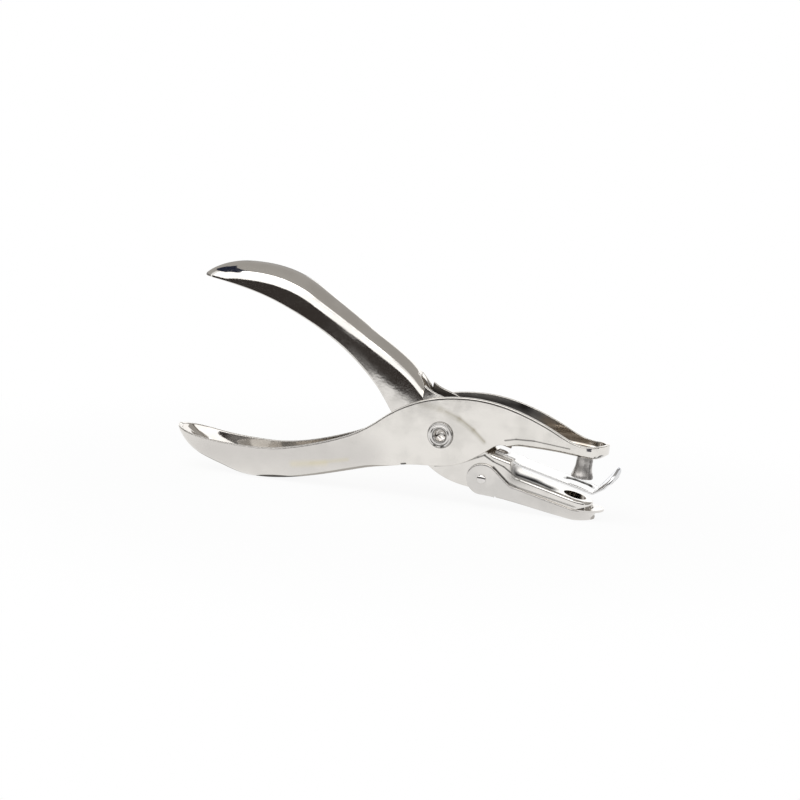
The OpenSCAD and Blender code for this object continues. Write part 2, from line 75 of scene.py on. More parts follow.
# Points across half a web, round a bend, up a wall and round the edge of a sheet
WEB_STEPS, BEND_STEPS, WALL_STEPS, EDGE_STEPS = 6, 10, 10, 7
# Sections along a handle's tip, round a nose and along an ear beside a window
TAIL_STEPS, NOSE_STEPS, EAR_STEPS = 34, 18, 10
# Points round a large and a small turned piece
ROUND, SMALL_ROUND = 96, 48
# Gap between the nose's round sections and those of its front
NOSE_GAP = 0.01
# Places where a circle rolled along a face is tried
ROLL_STEPS = 13
# Close rows beside an edge: distances from it, and the largest shares of a wall that they take
CLOSE_ROWS = ((0.15, 0.1), (0.6, 0.25))
# Radius left on a cut edge before it is rounded, and the least radius inside a bend
SQUARE_EDGE, LEAST_BEND = 0.02, 0.25
# Share of a section that a bend may take
BEND_ROOM = 0.92
# Shares of the half width that an inner wall may lean and that a closed section keeps
LEAN_ROOM, CLOSED_ROOM = 0.5, 0.7
# Half width above which a rim turns in
ROLL_FROM = 1
# How closely a wall's bow keeps to its bend
BOW_POWER = 5
# Share of a bend's turn that is cut away at an ear's root
EAR_ROOT = 0.2
# How far a cutter goes past the sheet
OVERRUN = 1
# Two faces that meet more sharply than this keep their edge
SHARP_ANGLE = rad(42)
# Points in metres that are closer than this become one
WELD = 1e-7
# Lengths under this count as none
TINY = 1e-9
# Places of the colours among a mix node's inputs and outputs
MIX_FIRST, MIX_SECOND, MIX_OUT = 6, 7, 2


class Body(Enum):
    """Bodies of the frame that pieces ride on."""

    LOWER = "lower_handle"
    UPPER = "upper_handle"
    TRAY = "tray"


class Grain(Enum):
    """Direction of the fine lines that polishing or turning leaves, as a stretch along X, Y and Z."""

    ALONG_HANDLE = (60.0, 900.0, 700.0)
    ACROSS_HANDLE = (2600.0, 90.0, 2600.0)
    ALONG_PIN = (2600.0, 2600.0, 220.0)
    EVEN = (800.0, 800.0, 800.0)


class Profile:
    """Smooth curve through knots of place, height and slope, level past its ends."""

    def __init__(self, *knots: Place) -> None:
        """Keeps the knots, which are in order, as three rows."""
        self.x, self.z, self.slope = (np.array(row, float) for row in zip(*knots))

    def at(self, x: float) -> float:
        """Height of the curve.

        Args:
            x: place along the part.

        Returns:
            The height there.
        """
        q = float(np.clip(x, self.x[0], self.x[-1]))
        i = int(np.clip(np.searchsorted(self.x, q, side="right") - 1, 0, len(self.x) - 2))
        d = self.x[i + 1] - self.x[i]
        s = (q - self.x[i]) / d
        first = (1 + 2 * s) * self.z[i] + s * d * self.slope[i]
        second = (3 - 2 * s) * self.z[i + 1] + (s - 1) * d * self.slope[i + 1]
        return (1 - s) ** 2 * first + s * s * second

    def face(self, x: float, up: int, sheet: float) -> float:
        """Height of a sheet's other face, above for 1 and below for -1, from a circle rolled along it."""
        steps = sheet * np.linspace(-1, 1, ROLL_STEPS)
        return up * max(up * self.at(x + u) + sqrt(max(sheet * sheet - u * u, 0)) for u in steps)


def level(height: float) -> Profile:
    """Profile of one height all along."""
    return Profile((-1, height, 0), (1, height, 0))


def closing(half: float, from_end: float, length: float) -> float:
    """Half width at a distance from a rounded end, which closes over a length."""
    u = min(max(from_end / length, 0.0), 1.0)
    return BLUNT + (half - BLUNT) * sqrt(u * (2 - u))


def quarter(steps: int) -> list[float]:
    """Angles of a quarter turn in even steps."""
    return [pi / 2 * i / steps for i in range(steps + 1)]


def link(name: str, data: bpy.types.ID) -> Obj:
    """Puts a mesh, a camera or a lamp into the scene.

    Args:
        name: name of the object.
        data: what it shows.

    Returns:
        The linked object.
    """
    obj = bpy.data.objects.new(name, data)
    bpy.context.scene.collection.objects.link(obj)
    return obj


@dataclass(frozen=True)
class PlierSizes:
    """Sizes that more than one piece uses, as the part's source has them."""

    sheet: float = 1.1
    tray_sheet: float = 0.6
    strip_sheet: float = 0.65
    cheek_w: float = 12.6
    lever_gap: float = 0.15
    rivet_d: float = 4.6
    run_fit: float = 0.05
    seat_fit: float = 0.02
    pivot_h: float = 18.9
    punch_x: float = 39.6
    punch_z: float = -1.7
    punch_len: float = 6.2
    punch_d: float = 6.0
    tenon_d: float = 3.0
    jaw_tilt: float = 5.5
    close_angle: float = 8.5
    die_gap: float = 0.2
    die_drop: float = 13.0
    step_h: float = 3.4
    hinge_x: float = 12.4
    hinge_drop: float = 10.9
    hinge_d: float = 1.8
    ear_r: float = 4.3
    tray_side_gap: float = 0.15
    tray_gap: float = 0.4
    land_lead: float = 1.0
    strip_rivet_d: float = 1.8
    tongue_start: float = 1.2
    strip_rivet_in: float = 2.8
    back_start: float = 13.6
    back_end: float = 20.0
    riser: float = 1.0

    @property
    def outer_half(self) -> float:
        """Half width over the outer cheeks."""
        return self.cheek_w / 2

    @property
    def inner_half(self) -> float:
        """Half width over the inner cheeks."""
        return self.outer_half - self.sheet - self.lever_gap

    @property
    def inner_in(self) -> float:
        """Half width between the inner cheeks."""
        return self.inner_half - self.sheet

    @property
    def tray_half(self) -> float:
        """Half width over the tray."""
        return self.inner_half + self.tray_side_gap + self.tray_sheet

    @property
    def die_tilt(self) -> float:
        """Slope of the die in degrees, so that it faces the punch when the jaws are closed."""
        return self.jaw_tilt + self.close_angle

    @property
    def die_x(self) -> float:
        """Place of the die, as far from the pivot as the punch is.

        Returns:
            The place along the part.
        """
        tilt = rad(self.jaw_tilt)
        axis = (-sin(tilt), -cos(tilt))
        end = (self.punch_x + self.punch_len * axis[0], self.punch_z + self.punch_len * axis[1])
        arm = end[1] * axis[0] - end[0] * axis[1]
        return (arm - self.die_drop * sin(rad(self.die_tilt))) / cos(rad(self.die_tilt))

    @property
    def land_x(self) -> float:
        """Start of the level land at the front of the tray's floor."""
        return self.die_x + self.land_lead

    def in_jaw_u(self, x: float) -> float:
        """Distance along the jaw from the die's centre to a place on the jaw's back level."""
        tilt = rad(self.die_tilt)
        return (x - self.die_x) / cos(tilt) - self.step_h * tan(tilt)

    def die_level(self, x: float) -> float:
        """Height of the jaw's die level at a place."""
        return -self.die_drop - tan(rad(self.die_tilt)) * (x - self.die_x)

    def back_level(self, x: float) -> float:
        """Height of the jaw's back level at a place."""
        return self.die_level(x) + self.step_h / cos(rad(self.die_tilt))

    def jaw_frame(self) -> Matrix:
        """Frame of the lower jaw, with the die's centre as origin and X along the jaw."""
        turn = Matrix.Rotation(rad(self.die_tilt), 4, "Y")
        return Matrix.Translation((self.die_x, 0, -self.die_drop)) @ turn

    def tongue_frame(self) -> Matrix:
        """Frame of the rivet that holds the stripper's tongue, on the jaw's back level."""
        along = self.in_jaw_u(self.back_start) + self.strip_rivet_in
        return self.jaw_frame() @ Matrix.Translation((along, 0, self.step_h))

    def punch_frame(self) -> Matrix:
        """Frame of the punch, with its Z along the punch and its origin under the web."""
        turn = Matrix.Rotation(rad(self.jaw_tilt), 4, "Y")
        return Matrix.Translation((self.punch_x, 0, self.punch_z)) @ turn

    def rivet_frame(self) -> Matrix:
        """Frame of the pivot rivet, with its Z across the part."""
        return Matrix.Rotation(rad(90), 4, "X")

    def hinge_frame(self, side: int = 1) -> Matrix:
        """Frame of a tray rivet, with its Z towards the near side for 1 or the far side for -1."""
        turn = Matrix.Rotation(rad(90 * side), 4, "X")
        return Matrix.Translation((self.hinge_x, 0, -self.hinge_drop)) @ turn


SIZES = PlierSizes()


class MeshMaker:
    """Turns points in millimetres into Blender meshes in the frame's metres."""

    @staticmethod
    def piece(name: str, points: Sequence, faces: Sequence[Sequence[int]], inside: int = 0) -> Obj:
        """Makes one closed mesh.

        Args:
            name: name of the piece.
            points: points in millimetres from the pivot.
            faces: rows of point numbers.
            inside: number of faces at the start that take the second finish.

        Returns:
            The linked object.
        """
        mesh = bpy.data.meshes.new(name)
        placed = np.array(points, float) * MM + np.array(PIVOT)
        mesh.from_pydata(placed.tolist(), [], [list(f) for f in faces])
        for polygon in mesh.polygons[:inside]:
            polygon.material_index = 1
        work = bmesh.new()
        work.from_mesh(mesh)
        bmesh.ops.remove_doubles(work, verts=work.verts, dist=WELD)
        bmesh.ops.recalc_face_normals(work, faces=work.faces)
        work.to_mesh(mesh)
        work.free()
        return link(name, mesh)

    @staticmethod
    def smooth(obj: Obj) -> None:
        """Shades a piece smooth and keeps its sharp edges."""
        obj.data.shade_smooth()
        obj.data.set_sharp_from_angle(angle=SHARP_ANGLE)

    @staticmethod
    def cut(obj: Obj, *cutters: Obj) -> None:
        """Cuts other solids out of a piece, one by one, and deletes them.

        Args:
            obj: the piece.
            cutters: the solids to cut out.
        """
        for cutter in cutters:
            step = obj.modifiers.new("cut", "BOOLEAN")
            step.operation = "DIFFERENCE"
            step.solver = "EXACT"
            step.object = cutter
            graph = bpy.context.evaluated_depsgraph_get()
            made = bpy.data.meshes.new_from_object(obj.evaluated_get(graph), depsgraph=graph)
            obj.modifiers.clear()
            spent = (obj.data, cutter.data)
            obj.data = made
            bpy.data.objects.remove(cutter)
            for mesh in spent:
                bpy.data.meshes.remove(mesh)
            made.name = obj.name

    @staticmethod
    def skin(rings: Sequence[Sequence[Vector]], caps: bool = False) -> tuple[list, list]:
        """Surface through closed rings of points.

        Args:
            rings: the rings in order, all with as many points.
            caps: whether the first and the last ring are closed with a face.

        Returns:
            The points and the faces.
        """
        n = len(rings[0])
        points = [p for ring in rings for p in ring]
        pairs = [(j * n, i, (i + 1) % n) for j in range(len(rings) - 1) for i in range(n)]
        faces = [[row + i, row + k, row + n + k, row + n + i] for row, i, k in pairs]
        if caps:
            faces += [list(range(n)), list(range(len(points) - n, len(points)))]
        return points, faces

    @staticmethod
    def turned(rows: Sequence[Point], place: Matrix, steps: int) -> list[list[Vector]]:
        """Rings of a solid that turns about its frame's Z, one for each radius and height of its outline."""
        turns = [2 * pi * i / steps for i in range(steps)]
        return [[place @ Vector((r * cos(a), r * sin(a), height)) for a in turns] for r, height in rows]

    @classmethod
    def lathe(cls, name: str, rows: Sequence[Point], place: Matrix, steps: int = ROUND) -> Obj:
        """Makes a turned solid from an outline of radius and height that starts and ends on its axis."""
        return cls.piece(name, *cls.skin(cls.turned(rows, place, steps)))

    @classmethod
    def bar(cls, diameter: float, fit: float, low: float, high: float, place: Matrix) -> Obj:
        """Round bar between two heights, for cutting a hole with some fit round a shank."""
        radius = diameter / 2 + fit
        return cls.lathe("cutter", [(0, low), (radius, low), (radius, high), (0, high)], place)

    @staticmethod
    def sheet(outer: np.ndarray, inner: np.ndarray, keep: np.ndarray, edge: float) -> tuple[list, list]:
        """Closed shell between two grids of points, with rounded edges.

        Args:
            outer: points of one face, as rows along the part and columns across it.
            inner: points of the other face, in the same order.
            keep: which squares of the grid are there.
            edge: how far the edge's rounding stands proud of the last points.

        Returns:
            The points and the faces, with those of the inner grid first.
        """
        rows, cols = outer.shape[:2]
        a_face, b_face = outer.copy(), inner.copy()
        squares = [[(i, j), (i + 1, j), (i + 1, j + 1), (i, j + 1)] for i, j in zip(*np.nonzero(keep))]
        edges: dict[tuple, list] = {}
        for ring in squares:
            for k in range(4):
                p, q, r, s = (ring[(k + step) % 4] for step in range(4))
                out = (outer[p] + outer[q] - outer[r] - outer[s]) / 2
                edges.setdefault((min(p, q), max(p, q)), []).append((p, q, out))
        border = [found[0] for found in edges.values() if len(found) == 1]
        outward: dict[tuple, np.ndarray] = {}
        for p, q, out in border:
            for v in (p, q):
                outward[v] = outward.get(v, np.zeros(3)) + out / max(np.linalg.norm(out), TINY)
        arcs: dict[tuple, list[int]] = {}
        points: list[np.ndarray] = []
        number: dict[tuple, int] = {}

        def add(key: tuple, point: np.ndarray) -> int:
            """Number of a point, which is added if it is new.

            Args:
                key: what tells the point from others.
                point: where it is.

            Returns:
                Its number.
            """
            if key not in number:
                number[key] = len(points)
                points.append(point)
            return number[key]

        for v, out in outward.items():
            unit = out / max(np.linalg.norm(out), TINY)
            at_end = v[0] in (0, rows - 1)
            at_rim = v[1] in (0, cols - 1)
            if not at_end and not at_rim:
                a_face[v] = a_face[v] - unit * edge
                b_face[v] = b_face[v] - unit * edge
            bulge = 0.0 if at_end and not at_rim else edge
            a, b = a_face[v], b_face[v]
            arcs[v] = [add(("a",) + v, a)]
            for k in range(1, EDGE_STEPS + 1):
                t = pi * k / (EDGE_STEPS + 1)
                middle = (a + b) / 2 + (a - b) / 2 * cos(t) + unit * bulge * sin(t)
                arcs[v].append(add((k,) + v, middle))
            arcs[v].append(add(("b",) + v, b))
        faces = [[add(("b",) + v, b_face[v]) for v in reversed(ring)] for ring in squares]
        faces += [[add(("a",) + v, a_face[v]) for v in ring] for ring in squares]
        for p, q, _ in border:
            for k in range(EDGE_STEPS + 1):
                faces.append([arcs[p][k], arcs[p][k + 1], arcs[q][k + 1], arcs[q][k]])
        return points, faces


@dataclass
class Nodes:
    """Adds linked shader nodes to one tree."""

    tree: Tree

    def feed(self, node: Node, inputs: dict) -> None:
        """Links or sets a node's inputs.

        Args:
            node: the node.
            inputs: a socket, a number, a vector or a colour for each input, by its name or number.
        """
        for key, value in inputs.items():
            socket = node.inputs[key]
            if isinstance(value, Socket):
                self.tree.links.new(value, socket)
            else:
                socket.default_value = (*value, 1.0) if socket.type == "RGBA" else value

    def add(self, kind: str, inputs: dict, **settings: object) -> bpy.types.NodeOutputs:
        """Adds one node.

        Args:
            kind: its type, without the start that all shader nodes share.
            inputs: what its inputs take, by name or number.
            settings: its other properties.

        Returns:
            Its outputs.
        """
        made = self.tree.nodes.new("ShaderNode" + kind)
        for name, value in settings.items():
            setattr(made, name, value)
        self.feed(made, inputs)
        return made.outputs

    def math(self, kind: str, *values: object) -> Socket:
        """Result of an operation on sockets or numbers."""
        return self.add("Math", dict(enumerate(values)), operation=kind)[0]

    def vector(self, kind: str, *values: object, out: str = "Vector") -> Socket:
        """Result of an operation on sockets or vectors."""
        return self.add("VectorMath", dict(enumerate(values)), operation=kind)[out]

    def place(self) -> Socket:
        """Place on the part, in metres."""
        return self.add("TexCoord", {})["Object"]

    def noise(self, place: Socket, scale: object, detail: float, **more: float) -> Socket:
        """Cloudy pattern of a scale and a detail."""
        return self.add("TexNoise", {"Vector": place, "Scale": scale, "Detail": detail, **more})["Fac"]

    def ramp(self, value: Socket, limits: dict, kind: str = "SMOOTHSTEP") -> Socket:
        """Value taken from one range to another."""
        return self.add("MapRange", {"Value": value, **limits}, interpolation_type=kind)["Result"]

    def near(self, gap: Socket, width: Socket) -> Socket:
        """Share that fades from one to nothing over a width."""
        return self.ramp(gap, {"From Max": width, "To Min": 1.0, "To Max": 0.0})

    def mix(self, share: Socket, first: object, second: object) -> Socket:
        """Colour between two colours."""
        inputs = {"Factor": share, MIX_FIRST: first, MIX_SECOND: second}
        return self.add("Mix", inputs, data_type="RGBA")[MIX_OUT]

    def group(self, tree: Tree, **values: object) -> bpy.types.NodeOutputs:
        """Outputs of a placed node group, with its inputs by name."""
        return self.add("Group", values, node_tree=tree)


class EffectGroups:
    """Shader node groups that the finishes share, each built once."""

    @staticmethod
    def start(name: str, ports: dict[str, object]) -> tuple[Nodes, bpy.types.NodeOutputs]:
        """Starts a group.

        Args:
            name: name of the group.
            ports: default of each input, a number or a vector.

        Returns:
            The group's nodes and its inputs' sockets.
        """
        tree = bpy.data.node_groups.new(name, "ShaderNodeTree")
        for label, default in ports.items():
            kind = "NodeSocketVector" if isinstance(default, tuple) else "NodeSocketFloat"
            tree.interface.new_socket(label, in_out="INPUT", socket_type=kind).default_value = default
        return Nodes(tree), tree.nodes.new("NodeGroupInput").outputs

    @staticmethod
    def end(nodes: Nodes, **results: Socket) -> Tree:
        """Ends a group.

        Args:
            nodes: the group's nodes.
            results: what each output gives.

        Returns:
            The group.
        """
        for label in results:
            nodes.tree.interface.new_socket(label, in_out="OUTPUT", socket_type="NodeSocketFloat")
        nodes.feed(nodes.tree.nodes.new("NodeGroupOutput"), results)
        return nodes.tree

    @classmethod
    @cache
    def smudges(cls) -> Tree:
        """Soft cloudy patches that handling leaves on plate.

        Returns:
            The group, with its scale and how softly the patches end as inputs.
        """
        middle, detail, roughness = 0.5, 4.0, 0.55
        nodes, ports = cls.start("hand_smudges", {"Scale": 90.0, "Spread": 0.12})
        low, high = (nodes.math(kind, middle, ports["Spread"]) for kind in ("SUBTRACT", "ADD"))
        cloud = nodes.noise(nodes.place(), ports["Scale"], detail, Roughness=roughness)
        return cls.end(nodes, Mask=nodes.ramp(cloud, {"From Min": low, "From Max": high}))

    @classmethod
    @cache
    def waves(cls) -> Tree:
        """Slow unevenness of a pressed and polished face.

        Returns:
            The group, with two scales and the share of the finer one as inputs.
        """
        detail, scales = 1.5, {"Slow Scale": 130.0, "Fine Scale": 900.0}
        nodes, ports = cls.start("press_waves", {**scales, "Fine Share": 0.12})
        place = nodes.place()
        slow, fine = (nodes.noise(place, ports[label], detail) for label in scales)
        fine = nodes.math("MULTIPLY", fine, ports["Fine Share"])
        return cls.end(nodes, Height=nodes.math("ADD", slow, fine))

    @classmethod
    @cache
    def grain(cls) -> Tree:
        """Fine lines in one direction, as a height and as a mask.

        Returns:
            The group, with the lines' stretch as input.
        """
        scale, detail = 1.0, 3.0
        limits = {"From Min": 0.42, "From Max": 0.72}
        nodes, ports = cls.start("polish_grain", {"Stretch": Grain.EVEN.value})
        lines = nodes.noise(nodes.vector("MULTIPLY", nodes.place(), ports["Stretch"]), scale, detail)
        return cls.end(nodes, Height=lines, Mask=nodes.ramp(lines, limits, "LINEAR"))

    @classmethod
    @cache
    def streak(cls) -> Tree:
        """Soft streak mask of painted shade or painted reflection along a line between two points of the
        part.

        Returns:
            The group, with both ends and the width as inputs.
        """
        ends = {"Start": (0.0, 0.0, 0.0), "End": (0.01, 0.0, 0.0)}
        nodes, ports = cls.start("painted_streak", {**ends, "Width": 0.002})
        along = nodes.vector("SUBTRACT", ports["End"], ports["Start"])
        offset = nodes.vector("SUBTRACT", nodes.place(), ports["Start"])
        reach, square = (nodes.vector("DOT_PRODUCT", v, along, out="Value") for v in (offset, along))
        share = nodes.add("Clamp", {"Value": nodes.math("DIVIDE", reach, square)})["Result"]
        spot = nodes.add("VectorMath", {0: along, "Scale": share}, operation="SCALE")["Vector"]
        gap = nodes.vector("DISTANCE", offset, spot, out="Value")
        return cls.end(nodes, Mask=nodes.near(gap, ports["Width"]))

    @classmethod
    @cache
    def shade_ring(cls) -> Tree:
        """Ring mask of painted shade round an axis that lies across the part.

        Returns:
            The group, with the centre, the radius and the width as inputs.
        """
        across = (1.0, 0.0, 1.0)
        nodes, ports = cls.start("shade_ring", {"Centre": (0.0, 0.0, 0.0), "Radius": 0.003, "Width": 0.0002})
        flat = nodes.vector("MULTIPLY", nodes.vector("SUBTRACT", nodes.place(), ports["Centre"]), across)
        away = nodes.math("SUBTRACT", nodes.vector("LENGTH", flat, out="Value"), ports["Radius"])
        return cls.end(nodes, Mask=nodes.near(nodes.math("ABSOLUTE", away), ports["Width"]))


@dataclass(frozen=True)
class ShadeRing:
    """A ring of painted shade in the gap round a rivet or an ear, in millimetres from the pivot."""

    centre: Point
    radius: float
    width: float
    tint: Colour
    share: float

    def mask(self, nodes: Nodes) -> Socket:
        """Places the ring in a material.

        Args:
            nodes: the material's nodes.

        Returns:
            How much of the ring shows.
        """
        ring = EffectGroups.shade_ring()
        centre = tuple(PIVOT + Vector((self.centre[0], 0, self.centre[1])) * MM)
        return nodes.group(ring, Centre=centre, Radius=self.radius * MM, Width=self.width * MM)["Mask"]


@dataclass(frozen=True)
class PaintedStreak:
    """A soft streak of painted shade or painted reflection on a face, in millimetres from the pivot."""

    start: Place
    end: Place
    width: float
    tint: Colour
    share: float

    def mask(self, nodes: Nodes) -> Socket:
        """Places the mark in a material and gives how much of it shows."""
        start, end = (tuple(PIVOT + Vector(p) * MM) for p in (self.start, self.end))
        return nodes.group(EffectGroups.streak(), Start=start, End=end, Width=self.width * MM)["Mask"]


@dataclass(frozen=True)
class MetalFinish:
    """A plated, turned or drawn steel finish."""

    name: str
    slot: str
    bright: Colour
    dull: Colour
    rough: Point
    grain: Grain
    wave_height: float = 0.05
    grain_height: float = 0.004
    smudge_scale: float = 90.0
    grain_share: float = 0.35
    painted_streaks: tuple[PaintedStreak, ...] = ()
    shade_rings: tuple[ShadeRing, ...] = ()

    def material(self) -> bpy.types.Material:
        """Builds the finish's material, or finds it if it is there.

        Returns:
            The material.
        """
        found = bpy.data.materials.get(self.name)
        if found:
            return found
        made = bpy.data.materials.new(self.name)
        made.use_nodes = True
        nodes = Nodes(made.node_tree)
        smudge = nodes.group(EffectGroups.smudges(), Scale=self.smudge_scale)["Mask"]
        grain = nodes.group(EffectGroups.grain(), Stretch=self.grain.value)
        waves = nodes.group(EffectGroups.waves())["Height"]
        colour = nodes.mix(smudge, self.bright, self.dull)
        looks: dict[str, object] = {"Metallic": 1.0}
        matte_share: Optional[Socket] = None
        # Painted shade and reflection streaks and rings tint the base colour; where a painted shade tint
        # lies, the metal also turns matte
        for mark in (*self.painted_streaks, *self.shade_rings):
            share = nodes.math("MULTIPLY", mark.mask(nodes), mark.share)
            colour = nodes.mix(share, colour, mark.tint)
            if mark.tint in MATTE_TINTS:
                matte_share = nodes.math("MAXIMUM", share, matte_share or 0.0)
        if matte_share:
            looks = {"Metallic": nodes.math("SUBTRACT", 1.0, matte_share), "Specular IOR Level": 0.0}
        both = nodes.math("MULTIPLY_ADD", grain["Mask"], self.grain_share, smudge)
        limits = {"From Max": 1 + self.grain_share, "To Min": self.rough[0], "To Max": self.rough[1]}
        slow = nodes.add("Bump", {"Distance": self.wave_height * MM, "Height": waves})["Normal"]
        fine = {"Distance": self.grain_height * MM, "Height": grain["Height"], "Normal": slow}
        looks |= {"Base Color": colour, "Roughness": nodes.ramp(both, limits, "LINEAR"),
                  "Normal": nodes.add("Bump", fine)["Normal"]}
        nodes.feed(made.node_tree.nodes["Principled BSDF"], looks)
        return made


# Near-black painted shade for the gaps between parts, seams, creases and splits
GAP_SHADE = (0.05, 0.045, 0.04)
# Black painted shade inside the channels and under the stripper
DEEP_SHADE = (0.014, 0.012, 0.011)
# Dark brown painted shade in the throat, on the stripper's tongue and its rivet
BROWN_SHADE = (0.11, 0.075, 0.05)
# Mid grey painted shade inside the lower handle
MID_SHADE = (0.42, 0.39, 0.35)
# Painted shade tints, which also make the metal matte where they lie
MATTE_TINTS = (GAP_SHADE, DEEP_SHADE, BROWN_SHADE, MID_SHADE)
# Brownish tint of the painted shade streak across the near outer cheek
SHADE_STREAK_TINT = (0.36, 0.33, 0.25)


def trail(y: float, *rows: Sequence[float], tint: Colour = GAP_SHADE) -> tuple[PaintedStreak, ...]:
    """Painted shade streaks from point to point along a face.

    Args:
        y: where the face is.
        rows: X, Z, width and share of each mark's start, then X and Z of the last mark's end.
        tint: colour of the marks.

    Returns:
        The marks in order.
    """
    return tuple(PaintedStreak((a[0], y, a[1]), (b[0], y, b[1]), a[2], tint, a[3]) for a, b in zip(rows, rows[1:]))


# Near faces of the outer and inner cheeks
OUTER_Y, INNER_Y = -6.3, -5.05
# Painted shade streaks, brownish and diagonal, across the near outer cheek
CHEEK_SHADE = trail(
    OUTER_Y, (-6.2, 7.9, 1.6, 0.22), (-0.6, 7.1, 1.5, 0.3), (5.0, 5.0, 1.3, 0.4), (9.2, 2.4, 1.1, 0.42),
    (12.5, -0.4), tint=SHADE_STREAK_TINT)
CHEEK_SHADE += trail(
    OUTER_Y, (1.0, 6.7, 0.5, 0.3), (5.2, 5.2, 0.45, 0.42), (9.4, 2.6, 0.4, 0.42), (12.6, -0.3), tint=SHADE_STREAK_TINT)
# Painted yellowish reflection on the lower handle's near wall
HANDLE_YELLOW_REFLECTION = (
    PaintedStreak((-42.5, -6.6, -13.4), (-33.0, -6.45, -12.0), 1.6, (0.74, 0.66, 0.44), 0.34),
    PaintedStreak((-37.0, -6.5, -12.5), (-26.5, -6.37, -10.2), 1.0, (0.66, 0.60, 0.42), 0.35))
HANDLE_SHADE = PaintedStreak((-68.0, -7.0, -12.5), (-22.0, -6.4, -8.5), 10.0, (0.60, 0.575, 0.55), 0.75)
# Painted shade line on the near outer cheek at the back end of the web's window
WEB_SLOT_SHADE = trail(OUTER_Y, (-10.6, -9.45, 0.45, 0.95), (-9.5, -9.2))
# Painted shade lines along the crease of the upper jaw's near cheek
JAW_CREASE_SHADE = trail(
    OUTER_Y, (18.4, 0.7, 0.34, 0.7), (21.5, 1.4, 0.34, 0.8), (26.5, 1.55, 0.30, 0.7), (36.5, 0.6))
# Painted shadow lines along the tray's rim, in its gap to both inner cheeks
TRAY_GAP_SHADOW_ROWS = (
    (15.4, -7.3, 0.55, 0.95), (19.6, -10.95, 0.5, 0.7), (22.0, -11.85, 0.42, 0.5), (41.0, -15.75))
TRAY_GAP_SHADOWS = trail(INNER_Y, *TRAY_GAP_SHADOW_ROWS) + trail(-INNER_Y, *TRAY_GAP_SHADOW_ROWS)
# Painted shadow on the jaw's web under the stripper, and a grey painted shade line across the web
UNDER_STRIP_SHADOW = (
    PaintedStreak((21.8, -2.6, -9.05), (26.2, -1.8, -10.2), 4.2, DEEP_SHADE, 0.97),
    PaintedStreak((26.2, -1.8, -10.2), (31.0, -2.6, -11.4), 3.2, DEEP_SHADE, 0.95),
    PaintedStreak((20.5, -4.0, -7.4), (20.5, 4.0, -7.4), 1.5, (0.22, 0.21, 0.20), 0.75))
# Painted shade lines along the pressed step of the near inner cheek
STEP_SHADE_LINES = trail(
    INNER_Y, (12.6, -4.3, 0.4, 0.85), (15.2, -5.7, 0.32, 0.85), (18.3, -6.8, 0.36, 0.85),
    (21.1, -8.6, 0.3, 0.85), (23.0, -9.9))
# Painted shadow line on the near inner cheek, just below the outer lever's edge
CHEEK_SEAM_SHADOW = trail(
    INNER_Y, (-1.3, -8.95, 0.42, 0.6), (3.0, -8.1, 0.42, 0.6), (6.9, -6.75, 0.42, 0.6),
    (10.8, -5.05, 0.42, 0.6), (12.8, -4.2))
# Dark brown painted shade on the stripper's tongue
TONGUE_BROWN_SHADE = PaintedStreak((14.0, 0.0, -3.0), (15.9, 0.0, -3.5), 3.4, BROWN_SHADE, 0.9)
# Painted bluish grey reflection on the stripper's turned-up lip
LIP_GREY_REFLECTION = PaintedStreak((46.0, 0.0, -6.5), (50.0, 0.0, -1.5), 6.0, (0.50, 0.52, 0.56), 0.9)
# Dark brown painted shade on the dome of the stripper's rivet
DOME_BROWN_SHADE = PaintedStreak((16.6, 0.0, -3.4), (17.6, 0.0, -3.6), 2.0, BROWN_SHADE, 0.9)
# Painted shade in the two splits of the pivot rivet's rolled edge
RIVET_NICK_SHADE = (
    PaintedStreak((-1.3, -7.0, -2.85), (-1.0, -7.0, -3.0), 0.75, GAP_SHADE, 0.95),
    PaintedStreak((0.85, -7.0, -3.05), (1.05, -7.0, -2.95), 0.95, GAP_SHADE, 0.98))
# Painted shade on the far wall of the stripper's punch slot
SLOT_POINTS = ((34.5, 1.9, -9.0), (36.4, 3.4, -9.6), (38.7, 3.5, -10.2), (40.8, 3.1, -10.6))
SLOT_WALL_SHADE = tuple(PaintedStreak(a, b, 0.7, GAP_SHADE, 0.9) for a, b in zip(SLOT_POINTS, SLOT_POINTS[1:]))
TRAY_SHADE = PaintedStreak((26.0, -5.8, -14.0), (43.0, -5.8, -17.2), 4.0, (0.56, 0.54, 0.515), 0.6)
# Black painted shade inside the inner lever's channel, above the pivot
INNER_CHANNEL_SHADE = PaintedStreak((-6.0, 3.9, 10.2), (2.0, 4.1, 9.0), 3.0, DEEP_SHADE, 0.9)
# Painted shade inside the outer lever's channel: black under the arch, brownish towards the nose and mid grey
# inside the lower handle
OUTER_CHANNEL_SHADE = (
    PaintedStreak((-9.0, 5.4, 9.5), (20.0, 5.4, 8.6), 4.2, DEEP_SHADE, 0.92),
    PaintedStreak((20.0, 5.4, 8.6), (28.0, 5.4, 5.2), 2.8, DEEP_SHADE, 0.75),
    PaintedStreak((27.0, 5.0, 5.0), (38.0, 5.0, 1.0), 3.6, (0.34, 0.26, 0.18), 0.6),
    PaintedStreak((-66.0, 6.0, -10.8), (-50.0, 5.8, -11.3), 3.2, MID_SHADE, 0.35),
    PaintedStreak((-50.0, 5.6, -11.0), (-32.0, 5.4, -9.0), 2.4, MID_SHADE, 0.4))
KNOB_SHADE = PaintedStreak((-8.6, 2.6, 13.4), (-6.8, 3.2, 11.6), 1.4, (0.20, 0.17, 0.13), 0.8)

